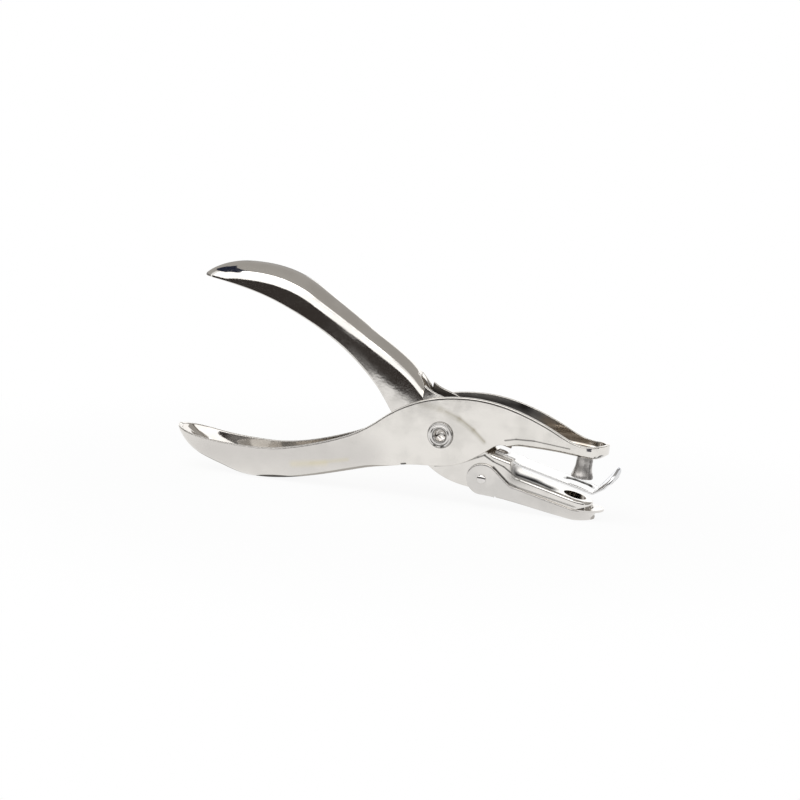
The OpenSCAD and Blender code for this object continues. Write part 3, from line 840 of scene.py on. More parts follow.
OUTER_PLATE = MetalFinish(
    "plated_outer", "nickel_outer", (0.80, 0.772, 0.73), (0.735, 0.71, 0.67), (0.10, 0.19),
    Grain.ALONG_HANDLE, painted_streaks=(HANDLE_SHADE,) + WEB_SLOT_SHADE + CHEEK_SHADE + HANDLE_YELLOW_REFLECTION + JAW_CREASE_SHADE,
    # Painted shade ring in the gap round the pivot rivet's head
    shade_rings=(ShadeRing((0.0, 0.0), 3.66, 0.16, GAP_SHADE, 0.6),))
INNER_PLATE = MetalFinish(
    "plated_inner", "nickel_inner", (0.76, 0.735, 0.70), (0.69, 0.665, 0.63), (0.07, 0.14),
    Grain.ACROSS_HANDLE, painted_streaks=TRAY_GAP_SHADOWS + UNDER_STRIP_SHADOW + STEP_SHADE_LINES + CHEEK_SEAM_SHADOW + (KNOB_SHADE,),
    # Painted shade ring in the gap round the tray's ear
    shade_rings=(ShadeRing((12.4, -10.9), 4.36, 0.16, GAP_SHADE, 0.4),))
OUTER_INSIDE = MetalFinish(
    "plated_outer_inside", "nickel_outer", (0.78, 0.755, 0.725), (0.68, 0.65, 0.61), (0.05, 0.10),
    Grain.ALONG_HANDLE, painted_streaks=OUTER_CHANNEL_SHADE)
# Darker, rougher copy of the inner plate for the inside faces of its channel: painted shade
INNER_INSIDE_SHADED = MetalFinish(
    "plated_inner_inside_shaded", "nickel_inner", (0.60, 0.565, 0.52), (0.48, 0.44, 0.39), (0.14, 0.24),
    Grain.ALONG_HANDLE, painted_streaks=(INNER_CHANNEL_SHADE,))
TRAY_PLATE = MetalFinish(
    "plated_tray", "nickel_tray", (0.725, 0.70, 0.672), (0.645, 0.625, 0.60), (0.13, 0.22), Grain.EVEN,
    wave_height=0.02, painted_streaks=(TRAY_SHADE,))
STRIP_PLATE = MetalFinish(
    "plated_strip", "nickel_strip", (0.78, 0.775, 0.77), (0.74, 0.735, 0.725), (0.12, 0.22),
    Grain.ALONG_HANDLE, wave_height=0.01, painted_streaks=(TONGUE_BROWN_SHADE, LIP_GREY_REFLECTION) + SLOT_WALL_SHADE)
RIVET_PLATE = MetalFinish(
    "rivet_plate", "rivet_steel", (0.74, 0.72, 0.70), (0.66, 0.64, 0.615), (0.08, 0.17), Grain.EVEN,
    smudge_scale=260.0, wave_height=0.004, grain_height=0.001, painted_streaks=(DOME_BROWN_SHADE,) + RIVET_NICK_SHADE,
    # Painted shade rings at the rivet's crater lip and round its rolled edge
    shade_rings=(ShadeRing((0.0, 0.0), 1.95, 0.3, GAP_SHADE, 0.75), ShadeRing((0.0, 0.0), 3.45, 0.2, GAP_SHADE, 0.5)))
PUNCH_STEEL = MetalFinish(
    "punch_steel", "turned_steel", (0.60, 0.575, 0.55), (0.33, 0.315, 0.30), (0.28, 0.46), Grain.ALONG_PIN,
    grain_height=0.02, smudge_scale=420.0)
WIRE_STEEL = MetalFinish(
    "wire_steel", "spring_wire", (0.34, 0.29, 0.245), (0.20, 0.17, 0.145), (0.18, 0.34), Grain.EVEN,
    smudge_scale=300.0)


def dress(obj: Obj, finish: MetalFinish, body: Body, *nodes: str) -> Obj:
    """Gives a piece its shading, its finish and its body, and hides the nodes that it stands for.

    Args:
        obj: the piece.
        finish: its finish.
        body: the body that it rides on.
        nodes: the nodes that it stands for.

    Returns:
        The piece.
    """
    MeshMaker.smooth(obj)
    if not obj.data.materials:
        obj.data.materials.append(finish.material())
    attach(obj, body.value)
    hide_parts(*nodes)
    LOG.info("%s rides on %s, %d faces", obj.name, body.value, len(obj.data.polygons))
    return obj


@dataclass
class PressedChannel:
    """A pressed channel: a web with a wall on each side, open away from the web."""

    name: str
    sheet: float
    up: int
    web: Profile
    rim: Profile
    side: Profile
    bend: Profile
    lean: Profile
    window: Point
    nose: Point
    tail: Optional[Point] = None
    edge: float = 0.2
    spacing: float = 0.8
    ear: float = 0.0
    roll: float = 0.03
    front_steps: int = 9
    bow: Profile = level(0)

    def stations(self) -> list[float]:
        """Places of the sections, close together at the rounded ends.

        Returns:
            The places in order.
        """
        end, reach = self.tail
        first = [end + reach * (1 - cos(t)) for t in quarter(TAIL_STEPS)[:-1]]
        return first + self.between(end + reach, self.nose[0] - self.nose[1]) + self.front()

    def front(self) -> list[float]:
        """Places of the sections round the nose.

        Returns:
            The places in order.
        """
        tip, radius = self.nose
        sides = [tip - radius + (radius - self.sheet) * sin(t) - NOSE_GAP for t in quarter(NOSE_STEPS)[1:]]
        return sides + [tip - self.sheet * cos(t) for t in quarter(self.front_steps)]

    def between(self, low: float, high: float) -> list[float]:
        """Even places between two ends, with the window's ends and close rows beside them.

        Args:
            low: first place.
            high: last place.

        Returns:
            The places in order.
        """
        gaps = [0] + [self.edge + d for d, _ in CLOSE_ROWS]
        beside = [x + side * d for x in self.window for side in (-1, 1) for d in gaps]
        beside += [self.window[0] + self.ear * i / EAR_STEPS for i in range(1, EAR_STEPS + 1) if self.ear]
        stops = sorted({low, high, *(x for x in beside if low < x < high)})
        found: list[float] = []
        for a, b in zip(stops, stops[1:]):
            count = max(1, round((b - a) / self.spacing))
            found += [a + (b - a) * i / count for i in range(count)]
        return found + [high]

    def half_width(self, x: float, inset: float) -> float:
        """Half width at the rim.

        Args:
            x: place along the part.
            inset: 0 for the outer face, or the sheet's thickness for the inner one.

        Returns:
            The half width there.
        """
        half = self.side.at(x) - inset
        tip, radius = self.nose
        found = min(half, closing(half, tip - inset - x, radius - inset))
        if self.tail:
            end, reach = self.tail
            found = min(found, closing(half, x - end - inset, reach - inset))
        return found

    def heights(self, x: float) -> tuple[float, float, float]:
        """Heights of the web's outer face, its inner face and the rim at a place."""
        return self.web.at(x), self.web.face(x, self.up, self.sheet), self.rim.at(x)

    def half_section(
        self, w_rim: float, lean: float, rim: float, web: float, r: float, cut: float, roll: float, bow: float
    ) -> np.ndarray:
        """Half of one face's section, from the web's middle to the rim.

        Args:
            w_rim: half width at the rim.
            lean: how much narrower the web is.
            rim: height of the rim.
            web: height of the web's middle.
            r: radius of the bend.
            cut: share of the bend's turn that is cut away, from the web.
            roll: how far the wall turns in at its rim.
            bow: how far the wall stands in at its bend, most of it close to the bend.

        Returns:
            The points across the part.
        """
        w_web = w_rim - lean - bow
        corner, top = np.array([w_web, web]), np.array([w_rim - bow, rim])
        wall = top - corner
        height = np.linalg.norm(wall)
        d1, d2 = wall / height, np.array([-1.0, 0.0])
        half_turn = acos(np.clip(d1 @ d2, -1, 1)) / 2
        r = min(r, BEND_ROOM * min(height, w_web) * tan(half_turn))
        reach = r / tan(half_turn)
        middle = corner + (d1 + d2) / np.linalg.norm(d1 + d2) * r / sin(half_turn)
        start, stop = corner + reach * d2, corner + reach * d1
        a0, a1 = (atan2(*(end - middle)[::-1]) for end in (start, stop))
        a1 = a0 + (a1 - a0 + pi) % (2 * pi) - pi
        points = [np.array([start[0] * i / WEB_STEPS, web]) for i in range(WEB_STEPS)]
        for i in range(BEND_STEPS + 1):
            a = a0 + (a1 - a0) * (cut + (1 - cut) * i / BEND_STEPS)
            points.append(middle + r * np.array([cos(a), sin(a)]))
        for share in self.wall_shares(np.linalg.norm(top - stop)):
            points.append(stop + (top - stop) * share + np.array([bow * (1 - (1 - share) ** BOW_POWER), 0.0]))
        points[-1] = points[-1] - np.array([roll, 0.0])
        return np.array(points)

    def wall_shares(self, length: float) -> np.ndarray:
        """Places of the rows up a wall, close together beside both edges so that the face stays flat.

        Args:
            length: length of the wall.

        Returns:
            Shares of the wall's length, in order.
        """
        low = [min((self.edge + d) / length, share) for d, share in CLOSE_ROWS]
        high = [1 - min(d / length, share) for d, share in CLOSE_ROWS]
        middle = np.linspace(low[1], high[1], WALL_STEPS - 3)
        return np.array([low[0], *middle, high[0], 1.0])

    def section(self, x: float) -> tuple[np.ndarray, np.ndarray]:
        """Both faces of one section.

        Args:
            x: place along the part.

        Returns:
            The outer and the inner points.
        """
        web, web_in, rim = self.heights(x)
        rim -= self.up * self.edge
        w, w_in = self.half_width(x, 0), self.half_width(x, self.sheet)
        lean = self.lean.at(x) * w / self.side.at(x)
        bend = self.bend.at(x)
        bend_in = max(bend - self.sheet, LEAST_BEND)
        cut = 0.0
        start, stop = self.window
        if start < x < start + self.ear - TINY:
            cut = self.ear_cut((x - start) / self.ear)
        elif start < x < stop:
            web_in, bend, bend_in = web, SQUARE_EDGE, SQUARE_EDGE
        bow = self.bow.at(x)
        outer = self.half_section(w, lean, rim, web, bend, cut, self.roll if w > ROLL_FROM else 0.0, bow)
        if self.up * (rim - web_in) > 2 * self.edge and w_in > 2 * BLUNT:
            lean_in = min(lean, LEAN_ROOM * w_in)
            inner = self.half_section(w_in, lean_in, rim, web_in, bend_in, cut, 0.0, bow)
        else:
            across = np.linspace(0, min(w_in, CLOSED_ROOM * w), len(outer))
            inner = np.stack([across, np.full(len(outer), rim)], axis=1)
        return self.mirror(x, outer), self.mirror(x, inner)

    @staticmethod
    def ear_cut(share: float) -> float:
        """Share of a bend's turn that is cut away along its ear, which ends round."""
        return EAR_ROOT + (1 - EAR_ROOT) * (1 - sqrt(max(1 - share ** 3, 0)))

    @staticmethod
    def mirror(x: float, half: np.ndarray) -> np.ndarray:
        """Whole section at a place, from the points between its middle and one rim."""
        across = np.concatenate([half[:0:-1] * np.array([-1.0, 1.0]), half])
        return np.column_stack([np.full(len(across), x), across])

    def kept(self, places: Sequence[float]) -> np.ndarray:
        """Which squares of the sheet are there, with the web cut away in the window.

        Args:
            places: places of the sections.

        Returns:
            One flag for each square.
        """
        half = WEB_STEPS + BEND_STEPS + WALL_STEPS
        from_middle = np.abs(np.arange(2 * half) - half + 0.5)
        in_web = from_middle < WEB_STEPS
        in_bend = from_middle < WEB_STEPS + BEND_STEPS
        mid = (np.array(places[1:]) + np.array(places[:-1])) / 2
        open_web = (mid > self.window[0]) & (mid < self.window[1])
        open_bend = open_web & (mid > self.window[0] + self.ear)
        return ~((open_web[:, None] & in_web[None, :]) | (open_bend[:, None] & in_bend[None, :]))

    def build(self, *finishes: MetalFinish) -> Obj:
        """Makes the channel's mesh.

        Args:
            finishes: finish of the outer face and of the inner face.

        Returns:
            The linked object.
        """
        places = self.stations()
        outer, inner = (np.array(rows) for rows in zip(*(self.section(x) for x in places)))
        keep = self.kept(places)
        obj = MeshMaker.piece(self.name, *MeshMaker.sheet(outer, inner, keep, self.edge), int(keep.sum()))
        for finish in finishes:
            obj.data.materials.append(finish.material())
        return obj


@dataclass
class OuterLever:
    """Lower handle, outer cheeks and upper jaw in one pressing."""

    length: float = 80.3
    spoon: float = 9.0
    width: float = 14.6
    belly_x: float = 55.0
    belly_wall: float = 9.0
    tip_drop: float = 8.0
    keel: Point = (8.0, 1.35)
    arch: Point = (8.5, 11.15)
    window: Point = (-11.0, 18.6)
    web_lead: float = 1.4
    handle_bend: float = 3.4
    jaw_bend: float = 2.3
    punch_flat: float = 4.0
    nose_flat: float = 2.6
    nose_lift: float = 1.0
    finish: MetalFinish = OUTER_PLATE
    inside: MetalFinish = OUTER_INSIDE

    def channel(self) -> PressedChannel:
        """Shape of the pressing.

        Returns:
            The channel.
        """
        s = SIZES
        fall = tan(rad(s.jaw_tilt))
        nose_x = s.punch_x + s.outer_half
        back, front = self.window
        web = Profile(
            (-self.length, -self.tip_drop, -1.15),
            (-self.belly_x - self.keel[0], self.keel[1] - s.pivot_h, -0.33),
            (-self.belly_x, -s.pivot_h, 0), (back, -9.8, 0.2), (3, -8.3, 0.2), (13.7, -2.7, 0.75),
            (front - self.web_lead, -0.8, 0),
            (s.punch_x - self.punch_flat, s.punch_z + self.punch_flat * fall, -fall),
            (s.punch_x + self.nose_flat, s.punch_z - self.nose_flat * fall, -fall),
            (nose_x, s.punch_z + self.nose_lift, 0.8))
        rim = Profile(
            (-self.length, s.sheet - self.tip_drop, -0.3), (-self.belly_x, self.belly_wall - s.pivot_h, 0),
            (-30, -4.5, 0.36), (-18, 2.2, 0.8), (self.arch[0], self.arch[1], 0), (30, 5.8, -0.45),
            (s.punch_x + 1.5, 1.6, 0), (nose_x, 2.0, 0.1))
        side = Profile(
            (self.spoon - self.length, self.width / 2, 0), (-18, s.outer_half, 0), (nose_x, s.outer_half, 0))
        bend = Profile(
            (back - 12, self.handle_bend, 0), (back, SQUARE_EDGE, 0), (front, SQUARE_EDGE, 0.2),
            (front + 4, self.jaw_bend, 0))
        lean = Profile((-70, 1.2, 0), (-61, 0.95, -0.05), (-52, 0.35, -0.04), (-42, 0.05, 0), (-30, 0, 0))
        bow = Profile((-76, 0, 0), (-66, 0.35, 0), (-50, 0.35, 0), (-36, 0, 0))
        return PressedChannel(
            "outer_lever_shell", s.sheet, 1, web, rim, side, bend, lean, self.window, (nose_x, s.outer_half),
            tail=(-self.length, self.spoon), bow=bow)

    def build(self) -> Obj:
        """Makes and dresses the lever.

        Returns:
            The piece.
        """
        s = SIZES
        obj = self.channel().build(self.finish, self.inside)
        MeshMaker.cut(
            obj, MeshMaker.bar(s.rivet_d, s.seat_fit, -s.cheek_w, s.cheek_w, s.rivet_frame()),
            MeshMaker.bar(s.tenon_d, s.seat_fit, -OVERRUN, s.sheet + OVERRUN, s.punch_frame()))
        return dress(obj, self.finish, Body.LOWER, "outer_lever")


@dataclass
class InnerLever:
    """Upper handle, inner cheeks and lower jaw in one pressing."""

    length: float = 74.4
    spoon: float = 17.0
    width: float = 13.0
    crest: Point = (60.5, 41.6)
    tip_h: float = 37.0
    fall: Point = (0.66, 0.876)
    palm: Point = (0.774, 0.724)
    tip_edge: float = 0.6
    web_end: float = 9.1
    ear: float = 3.2
    ear_bend: float = 4.6
    handle_bend: float = 5.0
    die_bend: float = 0.9
    finish: MetalFinish = INNER_PLATE
    inside: MetalFinish = INNER_INSIDE_SHADED

    def channel(self) -> PressedChannel:
        """Shape of the pressing.

        Returns:
            The channel.
        """
        s = SIZES
        slope = -tan(rad(s.die_tilt))
        nose_x = s.die_x + s.inner_half
        drop = s.back_end + s.riser
        crest_x, crest_h = self.crest
        web = Profile(
            (-self.length, self.tip_h, 0.8), (-crest_x, crest_h, 0),
            (-self.fall[0] * crest_x, self.fall[1] * crest_h, -0.62), (-24, 26.35, -0.65),
            (-self.web_end - 2, 17.9, -0.8), (-self.web_end, 16.1, -0.98), (-5, 12.2, -0.6), (0.9, 9.9, -0.4),
            (s.back_start, s.back_level(s.back_start), slope), (s.back_end, s.back_level(s.back_end), slope),
            (drop, s.die_level(drop), slope), (nose_x, s.die_level(nose_x), slope))
        room = s.tray_sheet + s.tray_gap
        behind, ahead = s.hinge_x - 2, s.hinge_x + 4
        rim = Profile(
            (-self.length, self.tip_h - self.tip_edge, -0.05),
            (-self.palm[0] * crest_x, self.palm[1] * crest_h, -0.46), (-20, 11.3, -1.1), (-12, 0.2, -1.2),
            (-2.65, -9.7, -0.7), (behind, -s.hinge_drop - s.ear_r + room + 0.3, -0.1),
            (ahead, ChipTray().web().at(ahead) + room, -0.08), (s.land_x, room - s.pivot_h, -0.12),
            (nose_x, room - s.pivot_h, 0))
        side = Profile(
            (self.spoon - self.length, self.width / 2, 0), (-22, s.inner_half, 0), (nose_x, s.inner_half, 0))
        bend = Profile(
            (-self.web_end - 12, self.handle_bend, 0), (-self.web_end + self.ear, self.ear_bend, 0),
            (s.back_start - 0.5, SQUARE_EDGE, 0), (s.back_start + 1.5, self.die_bend, 0))
        lean = Profile((-40, 0.3, 0), (-27, 0.02, 0), (-22, 0, 0))
        bow = Profile((-37, 0, 0), (-27, 0.18, 0), (-6, 0.18, 0), (0, 0, 0))
        return PressedChannel(
            "inner_lever_shell", s.sheet, -1, web, rim, side, bend, lean, (-self.web_end, s.back_start),
            (nose_x, s.inner_half), tail=(-self.length, self.spoon), ear=self.ear, bow=bow)

    def build(self) -> Obj:
        """Makes and dresses the lever.

        Returns:
            The piece.
        """
        s = SIZES
        obj = self.channel().build(self.finish, self.inside)
        MeshMaker.cut(
            obj, MeshMaker.bar(s.rivet_d, s.run_fit, -s.cheek_w, s.cheek_w, s.rivet_frame()),
            MeshMaker.bar(s.hinge_d, s.seat_fit, -s.cheek_w, s.cheek_w, s.hinge_frame()),
            MeshMaker.bar(s.punch_d, s.die_gap, -s.sheet - OVERRUN, OVERRUN, s.jaw_frame()),
            MeshMaker.bar(s.strip_rivet_d, s.seat_fit, -s.sheet - OVERRUN, OVERRUN, s.tongue_frame()))
        return dress(obj, self.finish, Body.UPPER, "inner_lever")


@dataclass
class ChipTray:
    """Thin tray under the lower jaw, with two ears that it swings on and a finger lip."""

    bend: float = 0.9
    edge: float = 0.12
    spacing: float = 0.5
    front_h: float = 3.0
    lip: float = 3.0
    lip_trim: float = 0.6
    lip_share: float = 0.995
    lip_steps: tuple[int, int] = (40, 6)
    floor_start: float = 4.2
    floor_ease: float = 1.5
    finish: MetalFinish = TRAY_PLATE

    def web(self) -> Profile:
        """Lower face of the floor, which ends in a level land.

        Returns:
            The curve.
        """
        s = SIZES
        return Profile(
            (s.hinge_x, -s.hinge_drop - s.ear_r, -0.05), (s.land_x, -s.pivot_h, -0.12),
            (s.land_x, -s.pivot_h, 0), (s.die_x + s.tray_half, -s.pivot_h, 0))

    def rim(self) -> Profile:
        """Upper edge of the walls, in front of the ears.

        Returns:
            The curve.
        """
        s = SIZES
        top = s.ear_r - s.hinge_drop
        front = self.front_h - s.pivot_h
        return Profile(
            (s.hinge_x, top, 0), (s.hinge_x + 2.8, top - 0.7, -0.75), (s.hinge_x + 7.2, top - 4.4, -0.8),
            (s.hinge_x + 9, top - 5.3, -0.22), (s.land_x, front, -0.2), (s.die_x + s.tray_half, front, 0))

    def build(self) -> Obj:
        """Makes and dresses the tray and its lip.

        Returns:
            The tray.
        """
        s = SIZES
        start = s.hinge_x + self.floor_start
        bend = Profile((start - self.floor_ease, SQUARE_EDGE, 0), (start, self.bend, 0))
        shape = TrayChannel(
            "chip_tray_shell", s.tray_sheet, 1, self.web(), self.rim(), level(s.tray_half), bend, level(0),
            (s.hinge_x - 2 * s.ear_r, start), (s.die_x + s.tray_half, s.tray_half), edge=self.edge,
            spacing=self.spacing, front_steps=7)
        obj = shape.build(self.finish, self.finish)
        far = 2 * s.cheek_w
        MeshMaker.cut(obj, MeshMaker.bar(s.hinge_d, s.run_fit, -far, far, s.hinge_frame()))
        dress(obj, self.finish, Body.TRAY, "chip_tray")
        self.build_lip()
        return obj

    def build_lip(self) -> Obj:
        """Makes and dresses the half-moon lip in front of the tray.

        Returns:
            The piece.
        """
        s = SIZES
        low = self.front_h - s.pivot_h - s.tray_sheet
        inside, outside = s.tray_half - s.tray_sheet / 2, s.tray_half - self.lip_trim
        reach = acos((self.lip ** 2 + inside ** 2 - outside ** 2) / (2 * self.lip * inside))
        round_steps, out_steps = self.lip_steps
        rows = []
        for i in range(round_steps + 1):
            a = reach * (2 * i / round_steps - 1) * self.lip_share
            far = self.lip * cos(a) + sqrt(outside ** 2 - (self.lip * sin(a)) ** 2)
            back, ahead = (np.array([r * cos(a), r * sin(a)]) for r in (inside, far))
            rows.append([back + (ahead - back) * k / out_steps for k in range(out_steps + 1)])
        grids = [np.array([[[s.die_x + p[0], p[1], z] for p in row] for row in rows])
                 for z in (low + s.tray_sheet, low)]
        obj = MeshMaker.piece("chip_tray_lip", *MeshMaker.sheet(*grids, np.ones(self.lip_steps, bool), 0.0))
        return dress(obj, self.finish, Body.TRAY)


@dataclass
class TrayChannel(PressedChannel):
    """Channel whose walls start as round ears."""

    ear_steps: int = 30
    first_angle: float = rad(5)

    def stations(self) -> list[float]:
        """Places of the sections, close together at the ears' backs and at the front.

        Returns:
            The places in order.
        """
        s = SIZES
        first = self.first_angle
        turns = [first + (pi / 2 - first) * i / self.ear_steps for i in range(self.ear_steps)]
        ears = [s.hinge_x - s.ear_r * cos(a) for a in turns]
        return ears + self.between(s.hinge_x, self.nose[0] - self.nose[1]) + self.front()

    def heights(self, x: float) -> tuple[float, float, float]:
        """Heights of one section, round at the ears.

        Args:
            x: place along the part.

        Returns:
            The floor's lower face, its upper face and the rim.
        """
        s = SIZES
        if x >= s.hinge_x:
            return super().heights(x)
        half = sqrt(max(s.ear_r ** 2 - (s.hinge_x - x) ** 2, 0))
        return -s.hinge_drop - half, -s.hinge_drop - half, -s.hinge_drop + half


@dataclass
class Stripper:
    """Bent strip over the die, with a slot for the punch and a turned-up lip for the paper."""

    width: float = 9.4
    tongue_w: float = 4.6
    paper_gap: float = 2.9
    slot_l: float = 9.0
    slot_w: float = 7.0
    slot_reach: Point = (1.0, 1.6)
    slot_points: int = 72
    lip_len: float = 9.4
    lip_angle: float = 64.0
    bend: float = 0.7
    bend_steps: int = 6
    front_land: float = 0.8
    ramp: float = 2.4
    shoulder: float = 0.6
    dish: float = 1.3
    dish_start: float = 3.5
    edge: float = 0.1
    spacing: float = 0.25
    across_points: int = 21
    rivet_head: Point = (1.44, 0.4)
    finish: MetalFinish = STRIP_PLATE
    rivet_finish: MetalFinish = RIVET_PLATE

    @property
    def step_u(self) -> float:
        """End of the jaw's back level, along the jaw."""
        return SIZES.in_jaw_u(SIZES.back_end)

    def path(self) -> np.ndarray:
        """Lower face of the strip in the jaw's own frame, with rounded corners.

        Returns:
            Points along the strip, no further apart than the spacing.
        """
        s = SIZES
        front = self.slot_l / 2 + self.front_land
        turn = rad(self.lip_angle)
        corners = [np.array(p, float) for p in (
            (s.in_jaw_u(s.back_start) + s.tongue_start, s.step_h), (self.step_u, s.step_h),
            (self.step_u + self.ramp, self.paper_gap), (front, self.paper_gap),
            (front + self.lip_len * cos(turn), self.paper_gap + self.lip_len * sin(turn)))]
        line = [corners[0]]
        for before, corner, after in zip(corners, corners[1:], corners[2:]):
            d1, d2 = ((end - corner) / np.linalg.norm(end - corner) for end in (before, after))
            reach = self.bend / tan(acos(np.clip(d1 @ d2, -1, 1)) / 2)
            a, b = corner + d1 * reach, corner + d2 * reach
            for t in (i / self.bend_steps for i in range(self.bend_steps + 1)):
                line.append((1 - t) ** 2 * a + 2 * t * (1 - t) * corner + t * t * b)
        line.append(corners[-1])
        found = [line[0]]
        for a, b in zip(line, line[1:]):
            count = max(1, ceil(np.linalg.norm(b - a) / self.spacing))
            found += [a + (b - a) * i / count for i in range(1, count + 1)]
        return np.array(found)

    def half_width(self, u: float, from_tip: float) -> float:
        """Half width of the strip.

        Args:
            u: place along the jaw.
            from_tip: distance from the lip's tip, along the strip.

        Returns:
            The half width there.
        """
        radius = self.width / 2
        if from_tip < radius:
            return sqrt(max(radius ** 2 - (radius - from_tip) ** 2, self.edge ** 2))
        return radius if u > self.step_u + self.shoulder else self.tongue_w / 2

    def build(self) -> Obj:
        """Makes and dresses the strip and its rivet.

        Returns:
            The strip.
        """
        s = SIZES
        line = self.path()
        step = np.gradient(line, axis=0)
        step /= np.linalg.norm(step, axis=1)[:, None]
        above = line + s.strip_sheet * np.column_stack([-step[:, 1], step[:, 0]])
        gone = np.concatenate([[0], np.cumsum(np.linalg.norm(np.diff(line, axis=0), axis=1))])
        across = np.linspace(-1, 1, self.across_points)
        jaw = s.jaw_frame()
        out = Vector((sin(rad(self.lip_angle)), -cos(rad(self.lip_angle))))
        grids = []
        for face in (line, above):
            rows = []
            for p, from_tip, u in zip(face, gone[-1] - gone, line[:, 0]):
                half = self.half_width(u, from_tip) - self.edge
                share = min(max((self.lip_len - from_tip) / self.dish_start, 0), 1)
                depth = self.dish * share * (2 * half / self.width) ** 2
                spots = [(p[0] + out.x * depth * v * v, half * v, p[1] + out.y * depth * v * v)
                         for v in across]
                rows.append([list(jaw @ Vector(spot)) for spot in spots])
            grids.append(np.array(rows))
        keep = np.ones((len(line) - 1, len(across) - 1), bool)
        obj = MeshMaker.piece("stripper_strip", *MeshMaker.sheet(*grids, keep, self.edge))
        tongue = s.tongue_frame()
        hole = MeshMaker.bar(s.strip_rivet_d, s.seat_fit, -OVERRUN, 2 * OVERRUN, tongue)
        MeshMaker.cut(obj, self.slot_cutter(jaw), hole)
        dress(obj, self.finish, Body.UPPER, "stripper_plate")
        self.build_rivet(tongue)
        return obj

    def slot_cutter(self, jaw: Matrix) -> Obj:
        """Solid that cuts the slot for the punch.

        Args:
            jaw: frame of the lower jaw.

        Returns:
            The linked solid.
        """
        radius, shift = self.slot_w / 2, (self.slot_l - self.slot_w) / 2
        turns = [2 * pi * (i + 0.5) / self.slot_points for i in range(self.slot_points)]
        ring = [(copysign(shift, cos(a)) + radius * cos(a), radius * sin(a)) for a in turns]
        levels = (self.paper_gap - self.slot_reach[0], self.paper_gap + self.slot_reach[1])
        rings = [[jaw @ Vector((*p, z)) for p in ring] for z in levels]
        return MeshMaker.piece("cutter", *MeshMaker.skin(rings, caps=True))

    def build_rivet(self, place: Matrix) -> Obj:
        """Makes and dresses the rivet that holds the tongue.

        Args:
            place: frame of the rivet, on the jaw's back level.

        Returns:
            The piece.
        """
        s = SIZES
        shank, (head, rise) = s.strip_rivet_d / 2, self.rivet_head
        dome = [(head * sin(rad(a)), rise * cos(rad(a))) for a in range(0, 91, 10)]
        rows = [(r, s.strip_sheet + z) for r, z in dome] + [(shank, s.strip_sheet), (shank, -s.sheet)]
        rows += [(r, -s.sheet - z) for r, z in reversed(dome)]
        obj = MeshMaker.lathe("stripper_rivet_domed", rows, place, SMALL_ROUND)
        return dress(obj, self.rivet_finish, Body.UPPER, "stripper_rivet")


@dataclass
class PivotRivet:
    """Tubular rivet whose ends are rolled over the cheeks."""

    head_d: float = 7.2
    head_h: float = 0.9
    crater_r: float = 1.55
    crater_depth: float = 2.2
    crater_wall: tuple[Point, ...] = ((0.95, 0.1), (1.0, 0.5))
    floor_dome: float = 0.5
    floor_share: float = 0.8
    floor_steps: int = 6
    lip_roll: float = 0.75
    groove: tuple[Point, ...] = ((2.5, 0.03), (2.62, 0.12), (2.74, 0.14), (2.86, 0.1))
    edge_roll: float = 0.42
    edge_drop: float = 0.1
    under_cut: float = 0.22
    split_angles: Point = (252.0, 288.0)
    split_half: float = 3.2
    split_depth: float = 0.4
    split_in: float = 0.75
    round_steps: int = 240
    finish: MetalFinish = RIVET_PLATE

    def outline(self) -> list[Point]:
        """Outline of one end, from the middle of the crater to the shank.

        Returns:
            Radius and height above the cheek, in order.
        """
        head, rise, crater = self.head_d / 2, self.head_h, self.crater_r
        lip, roll = self.lip_roll, self.edge_roll
        low, steps = rise - self.crater_depth, self.floor_steps
        rows = [(crater * self.floor_share * i / steps, low + self.floor_dome * (1 - (i / steps) ** 2))
                for i in range(steps + 1)]
        rows += [(crater * share, low + up) for share, up in self.crater_wall] + [(crater, rise - lip)]
        rows += [(crater + lip * (1 - cos(rad(a))), rise - lip + lip * sin(rad(a)))
                 for a in range(15, 91, 15)]
        rows += [(r, rise - drop) for r, drop in self.groove]
        rows += [(head - roll + roll * sin(rad(a)), rise - self.edge_drop - roll + roll * cos(rad(a)))
                 for a in range(0, 136, 15)]
        return rows + [(head - self.under_cut, 0.0), (SIZES.rivet_d / 2, 0.0)]

    def build(self) -> Obj:
        """Makes and dresses the rivet, with splits in its rolled edge.

        Returns:
            The piece.
        """
        s = SIZES
        near = [(r, s.outer_half + h) for r, h in self.outline()]
        rows = near + [(r, -h) for r, h in reversed(near)]
        rings = MeshMaker.turned(rows, s.rivet_frame(), self.round_steps)
        for (radius, _), ring in zip(rows, rings):
            if radius < self.head_d / 2 - self.split_in:
                continue
            for i, spot in enumerate(ring):
                off = min(abs(360 * i / self.round_steps - a) for a in self.split_angles)
                if off < self.split_half:
                    scale = 1 - self.split_depth * (1 - (off / self.split_half) ** 2) / radius
                    ring[i] = Vector((spot.x * scale, spot.y, spot.z * scale))
        obj = MeshMaker.piece("pivot_rivet_rolled", *MeshMaker.skin(rings))
        return dress(obj, self.finish, Body.LOWER, "pivot_rivet")


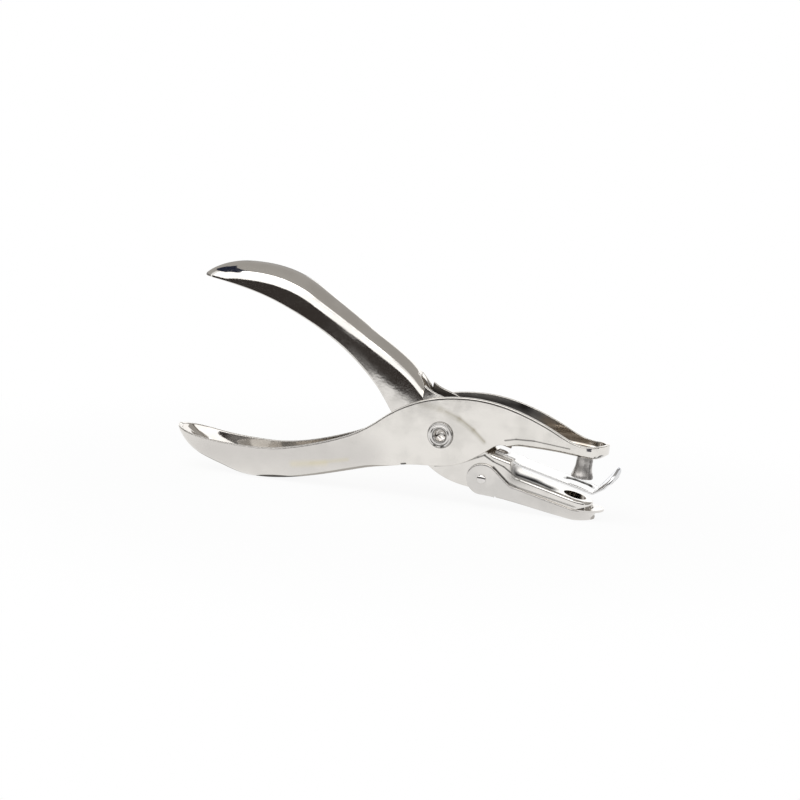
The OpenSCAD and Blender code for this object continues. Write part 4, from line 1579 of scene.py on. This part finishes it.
@dataclass
class TrayRivets:
    """The two domed rivets that the tray's ears turn on."""

    head_d: float = 2.6
    head_h: float = 0.55
    peen_h: float = 0.4
    turn_gap: float = 0.05
    finish: MetalFinish = RIVET_PLATE

    def build(self) -> list[Obj]:
        """Makes and dresses both rivets.

        Returns:
            The pieces.
        """
        s = SIZES
        head, shank = self.head_d / 2, s.hinge_d / 2
        top, bottom = s.tray_half + self.turn_gap, s.inner_in
        dome = self.head_h - self.turn_gap
        rows = [(head * sin(rad(a)), top + dome * cos(rad(a))) for a in range(0, 91, 9)]
        rows += [(shank, top), (shank, bottom)]
        rows += [(head * sin(rad(a)), bottom - self.peen_h * cos(rad(a))) for a in range(90, -1, -9)]
        made = []
        for name, side in (("near", 1), ("far", -1)):
            obj = MeshMaker.lathe(f"tray_rivet_{name}_domed", rows, s.hinge_frame(side), SMALL_ROUND)
            made.append(dress(obj, self.finish, Body.UPPER, f"tray_rivet_{name}"))
        return made


@dataclass
class PunchPin:
    """Turned punch with a waisted neck, a hollow-ground end and a riveted tenon."""

    neck_d: float = 4.5
    land: float = 0.6
    flare: float = 9.0
    flare_steps: int = 10
    head_d: float = 4.4
    head_h: float = 0.8
    dish: float = 0.45
    dish_share: float = 0.9
    dish_steps: int = 6
    edge: float = 0.06
    finish: MetalFinish = PUNCH_STEEL

    def outline(self) -> list[Point]:
        """Outline of the punch from its cutting end to its tenon's head.

        Returns:
            Radius and height above the web's lower face, in order.
        """
        s = SIZES
        low, end_r, neck_r, steps = -s.punch_len, s.punch_d / 2, self.neck_d / 2, self.dish_steps
        rows = [(end_r * self.dish_share * i / steps, low + self.dish * (1 - (i / steps) ** 2))
                for i in range(steps + 1)]
        rows += [(end_r - self.edge, low), (end_r, low + self.edge), (end_r, low + self.land)]
        reach = sqrt(self.flare ** 2 - (self.flare - (end_r - neck_r)) ** 2)
        for z in (reach * i / self.flare_steps for i in range(1, self.flare_steps + 1)):
            rows.append((neck_r + self.flare - sqrt(self.flare ** 2 - (reach - z) ** 2), low + self.land + z))
        tenon, head = s.tenon_d / 2, self.head_d / 2
        rows += [(neck_r, 0.0), (tenon, 0.0), (tenon, s.sheet)]
        return rows + [(head * cos(rad(a)), s.sheet + self.head_h * sin(rad(a))) for a in range(0, 91, 9)]

    def build(self) -> Obj:
        """Makes and dresses the punch."""
        obj = MeshMaker.lathe("punch_pin_turned", self.outline(), SIZES.punch_frame())
        return dress(obj, self.finish, Body.LOWER, "punch_pin")


@dataclass
class ReturnSpring:
    """Double torsion spring: two coils round the rivet, two legs under the jaw, a loop under the handle."""

    wire_d: float = 0.75
    coil_d: float = 6.3
    turns: int = 2
    turn_steps: int = 28
    straight_steps: int = 10
    loop_steps: int = 8
    wire_sides: int = 14
    seat: float = 0.3
    side_gap: float = 0.28
    loop_y: float = 0.85
    leg_in: float = 1.0
    loop_in: float = 1.6
    loop_ease: float = 2.2
    finish: MetalFinish = WIRE_STEEL
    outer: OuterLever = field(default_factory=OuterLever)
    inner: InnerLever = field(default_factory=InnerLever)

    def half_path(self) -> list[Vector]:
        """Middle line of half the spring, from a leg's end to the loop.

        Returns:
            Points along the wire.
        """
        s = SIZES
        radius = self.coil_d / 2
        leg_y = s.inner_in - self.wire_d / 2 - self.side_gap
        leg_x = self.outer.window[1] + self.leg_in
        leg = (leg_x, self.outer.channel().web.at(leg_x) - self.seat - self.wire_d / 2)
        loop_x = -self.inner.web_end - self.loop_in
        below = self.inner.channel().web.face(loop_x, -1, s.sheet)
        loop = (loop_x, below - self.loop_ease * (self.seat + self.wire_d / 2))
        leg_turn = atan2(leg[1], leg[0]) + acos(radius / hypot(*leg))
        loop_turn = atan2(loop[1], loop[0]) - acos(radius / hypot(*loop)) + 2 * pi * self.turns
        on, off = ((radius * cos(a), radius * sin(a)) for a in (leg_turn, loop_turn))
        straight, steps = self.straight_steps, self.turn_steps * self.turns
        line = []
        for t in (i / straight for i in range(straight)):
            line.append(Vector((leg[0] + (on[0] - leg[0]) * t, leg_y, leg[1] + (on[1] - leg[1]) * t)))
        for t in (i / steps for i in range(steps + 1)):
            a = leg_turn + (loop_turn - leg_turn) * t
            line.append(Vector((radius * cos(a), leg_y + (self.loop_y - leg_y) * t, radius * sin(a))))
        for t in (i / straight for i in range(1, straight + 1)):
            p = (off[0] + (loop[0] - off[0]) * t, off[1] + (loop[1] - off[1]) * t)
            line.append(Vector((p[0], self.loop_y, p[1])))
        middle, ahead = Vector((loop[0], 0, loop[1])), Vector((-sin(loop_turn), 0, cos(loop_turn)))
        for a in (rad(90 * i / self.loop_steps) for i in range(1, self.loop_steps)):
            line.append(middle + self.loop_y * (Vector((0, cos(a), 0)) + ahead * sin(a)))
        return line

    def build(self) -> Obj:
        """Makes the wire in its rest shape between the two levers.

        Returns:
            The piece.
        """
        half = self.half_path()
        top = Vector((half[-1].x, 0, half[-1].z))
        line = half + [top] + [Vector((p.x, -p.y, p.z)) for p in reversed(half)]
        angles = [2 * pi * k / self.wire_sides for k in range(self.wire_sides)]
        rings = []
        normal = Vector((0, 1, 0))
        for before, p, after in zip(line[:1] + line, line, line[1:] + line[-1:]):
            along = (after - before).normalized()
            normal = (normal - along * normal.dot(along)).normalized()
            other = along.cross(normal)
            rings.append([p + self.wire_d / 2 * (normal * cos(a) + other * sin(a)) for a in angles])
        obj = MeshMaker.piece("return_spring_wire", *MeshMaker.skin(rings, caps=True))
        MeshMaker.smooth(obj)
        obj.data.materials.append(self.finish.material())
        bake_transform(obj)
        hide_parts("return_spring")
        LOG.info("%s bends between the levers", obj.name)
        return obj


GREY = (0.42, 0.405, 0.385)
PALE_CARD = (1.35, 1.35, 1.35)
SOFT_SHADE = (0.50, 0.485, 0.465)
# Name, first and last azimuth in degrees, distance and heights in metres, and colour of each curved wall
CURTAINS = (
    ("front_strip", (-80, 80), 0.22, (0.0, 0.072), (0.040, 0.034, 0.031)),
    ("front_window", (-75, 75), 0.90, (0.0, 0.80), (1.5, 1.5, 1.5)),
    ("tip_curtain", (252, 312), 0.50, (0.37, 0.66), (0.02, 0.024, 0.045)),
    ("back_curtain", (85, 275), 0.60, (0.12, 1.0), GREY),
    ("back_edge", (85, 275), 0.61, (0.02, 0.12), (0.20, 0.19, 0.18)),
    ("low_card", (120, 208), 0.11, (0.016, 0.085), PALE_CARD),
    ("low_card_left", (208, 250), 0.11, (0.022, 0.046), PALE_CARD))
# Name, ends along X from the pivot, front edge along Y and height in metres, and colour of each floor shade:
# a dark card under the part, seen only in reflections, that stands in for the floor's shadow
FLOOR_SHADES = (
    ("belly_shade", (-0.058, -0.041), -0.0053, 3e-4, (0.12, 0.115, 0.11)),
    ("handle_shade", (-0.078, 0.002), -0.0043, 1e-4, SOFT_SHADE),
    ("tray_shade", (0.006, 0.046), -0.0043, 1e-4, SOFT_SHADE))


@dataclass
class Studio:
    """Camera, floor and plain soft light."""

    azimuth: float = 18.0
    elevation: float = 9.4
    roll: float = 3.9
    distance: float = 0.590
    image_px: float = 800.0
    px_per_mm: float = 3.65
    pivot_px: Point = (440.3, 435.0)
    sensor: float = 36.0
    clip: Point = (0.01, 50.0)
    floor_half: float = 4.0
    floor_low: float = -2e-5
    floor_paint: Colour = (0.93, 0.93, 0.925)
    floor_fade: Point = (0.07, 0.17)
    floor_white: float = 0.92
    fill: float = 0.30
    curtain_steps: int = 48
    shade_back: float = 0.004
    shade_steps: int = 24
    shade_power: float = 0.5
    nose_ends: tuple[Point, Point] = ((0.0620, -0.0855), (0.0920, -0.0690))
    nose_heights: Point = (0.0020, 0.026)
    nose_colour: Colour = (0.02, 0.02, 0.04)
    ceiling: Place = (1.5, 0.62, 1.0)

    def build(self) -> None:
        """Makes the camera, the floor and the light."""
        self.camera()
        self.floor()
        self.walls()
        self.world()
        self.softbox("key_softbox", -28, 62, 1.5, (1.7, 1.2), 14.0)
        self.softbox("back_softbox", 160, 68, 1.6, (1.6, 0.9), 4.0)
        bpy.context.scene.view_settings.view_transform = "Standard"

    @staticmethod
    def towards(azimuth: float, elevation: float) -> Vector:
        """Unit direction from the part, by degrees round it from its near side and above the floor."""
        a, e = rad(azimuth), rad(elevation)
        return Vector((sin(a) * cos(e), -cos(a) * cos(e), sin(e)))

    def camera(self) -> None:
        """Places the camera so that the near end of the pivot falls where the photograph has it."""
        back = self.towards(self.azimuth, self.elevation)
        right = Vector((0, 0, 1)).cross(back).normalized()
        up = back.cross(right)
        roll = rad(self.roll)
        right, up = right * cos(roll) + up * sin(roll), up * cos(roll) - right * sin(roll)
        near = PIVOT + Vector((0, -SIZES.outer_half * MM, 0))
        mid = self.image_px / 2
        shift = Vector(((self.pivot_px[0] - mid), (mid - self.pivot_px[1]))) / self.px_per_mm * MM
        aim = near - right * shift.x - up * shift.y
        data = bpy.data.cameras.new("photo_camera")
        data.sensor_width = self.sensor
        data.lens = self.px_per_mm * self.distance / MM * self.sensor / self.image_px
        data.clip_start, data.clip_end = self.clip
        camera = link("photo_camera", data)
        turn = Matrix((right, up, back)).transposed().to_4x4()
        camera.matrix_world = Matrix.Translation(aim + back * self.distance) @ turn
        bpy.context.scene.camera = camera

    @staticmethod
    def seen(nodes: Nodes) -> Socket:
        """Share that is 1 for camera, glossy and transmission rays.

        Args:
            nodes: the nodes to add to.

        Returns:
            The share's socket.
        """
        path = nodes.add("LightPath", {})
        first = nodes.math("MAXIMUM", path["Is Camera Ray"], path["Is Glossy Ray"])
        return nodes.math("MAXIMUM", first, path["Is Transmission Ray"])

    @staticmethod
    def surface(
        name: str, points: Sequence[Place], faces: Sequence[Sequence[int]], shown: bool
    ) -> tuple[Nodes, Node]:
        """Makes one stage surface with an empty material.

        Args:
            name: name of the surface.
            points: its points in metres.
            faces: rows of point numbers.
            shown: whether more than reflections show it.

        Returns:
            The material's nodes and the one that they end in.
        """
        mesh = bpy.data.meshes.new(name)
        mesh.from_pydata([list(p) for p in points], [], [list(f) for f in faces])
        obj = link(name, mesh)
        obj.visible_camera = obj.visible_diffuse = obj.visible_shadow = shown
        made = bpy.data.materials.new(name)
        made.use_nodes = True
        tree = made.node_tree
        tree.nodes.remove(tree.nodes["Principled BSDF"])
        mesh.materials.append(made)
        return Nodes(tree), tree.nodes["Material Output"]

    def floor(self) -> None:
        """Makes the pale floor, which keeps a soft shadow near the part."""
        h, low = self.floor_half, self.floor_low
        corners = [(-h, -h, low), (h, -h, low), (h, h, low), (-h, h, low)]
        nodes, end = self.surface("pale_floor", corners, [[0, 1, 2, 3]], True)
        paint = nodes.add("BsdfDiffuse", {"Color": self.floor_paint})[0]
        white = nodes.add("Emission", {"Color": (1, 1, 1)})[0]
        limits = {"From Min": self.floor_fade[0], "From Max": self.floor_fade[1], "To Min": self.floor_white}
        fade = nodes.ramp(nodes.vector("LENGTH", nodes.place(), out="Value"), limits)
        share = nodes.math("MULTIPLY", fade, self.seen(nodes))
        nodes.feed(end, {"Surface": nodes.add("MixShader", {0: share, 1: paint, 2: white})[0]})

    def card(self, name: str, points: Sequence[Place], faces: Sequence[Sequence], colour: Colour) -> None:
        """Makes one stage surface that only reflections show, in one colour."""
        nodes, end = self.surface(name, points, faces, False)
        nodes.feed(end, {"Surface": nodes.add("Emission", {"Color": colour})[0]})

    def walls(self) -> None:
        """Makes the walls, the ceiling, the cards and the floor shades, which only reflections show."""
        n = self.curtain_steps
        for name, (start, stop), radius, heights, colour in CURTAINS:
            sides = [self.towards(start + (stop - start) * i / n, 0) * radius for i in range(n + 1)]
            points = [(side.x, side.y, z) for side in sides for z in heights]
            self.card(name, points, [[2 * i, 2 * i + 2, 2 * i + 3, 2 * i + 1] for i in range(n)], colour)
        corners = [(PIVOT.x + x, y, z) for x, y in self.nose_ends for z in self.nose_heights]
        self.card("nose_card", corners, [[0, 1, 3, 2]], self.nose_colour)
        back = self.shade_back
        turns = [pi * i / self.shade_steps for i in range(self.shade_steps + 1)]
        for name, (start, stop), front, height, colour in FLOOR_SHADES:
            middle, half = PIVOT.x + (start + stop) / 2, (stop - start) / 2
            deep = [back + (front - back) * max(0.0, sin(t)) ** self.shade_power for t in turns]
            rim = [(middle - half * cos(t), y, height) for t, y in zip(turns, deep)]
            self.card(name, rim, [range(len(rim))], colour)
        x, y, z = self.ceiling
        self.card("grey_ceiling", [(-x, -y, z), (x, -y, z), (x, y, z), (-x, y, z)], [[0, 1, 2, 3]], GREY)

    def world(self) -> None:
        """Makes a white background with a soft even fill."""
        made = bpy.data.worlds.new("white_studio")
        bpy.context.scene.world = made
        made.use_nodes = True
        tree, nodes = made.node_tree, Nodes(made.node_tree)
        fill = tree.nodes["Background"]
        nodes.feed(fill, {"Color": (1, 1, 1), "Strength": self.fill})
        white = nodes.add("Background", {"Color": (1, 1, 1)})[0]
        mix = nodes.add("MixShader", {0: self.seen(nodes), 1: fill.outputs[0], 2: white})[0]
        nodes.feed(tree.nodes["World Output"], {"Surface": mix})

    def softbox(
        self, name: str, azimuth: float, elevation: float, distance: float, size: Point, power: float
    ) -> None:
        """Makes one large lamp that faces the part.

        Args:
            name: name of the lamp.
            azimuth: degrees round the part.
            elevation: degrees above the floor.
            distance: metres from the part.
            size: width and height in metres.
            power: watts.
        """
        data = bpy.data.lights.new(name, "AREA")
        data.shape = "RECTANGLE"
        data.size, data.size_y = size
        data.energy = power
        lamp = link(name, data)
        back = self.towards(azimuth, elevation)
        lamp.location = back * distance
        lamp.rotation_mode = "QUATERNION"
        lamp.rotation_quaternion = back.to_track_quat("Z", "Y")


def main() -> None:
    """Builds every piece of the plier and the studio round it."""
    logging.basicConfig(level=logging.INFO, format="%(name)s: %(message)s")
    Studio().build()
    for piece in (OuterLever(), InnerLever(), PivotRivet(), PunchPin(), Stripper(), ChipTray(), TrayRivets(),
                  ReturnSpring()):
        piece.build()


if __name__ == "__main__":
    main()
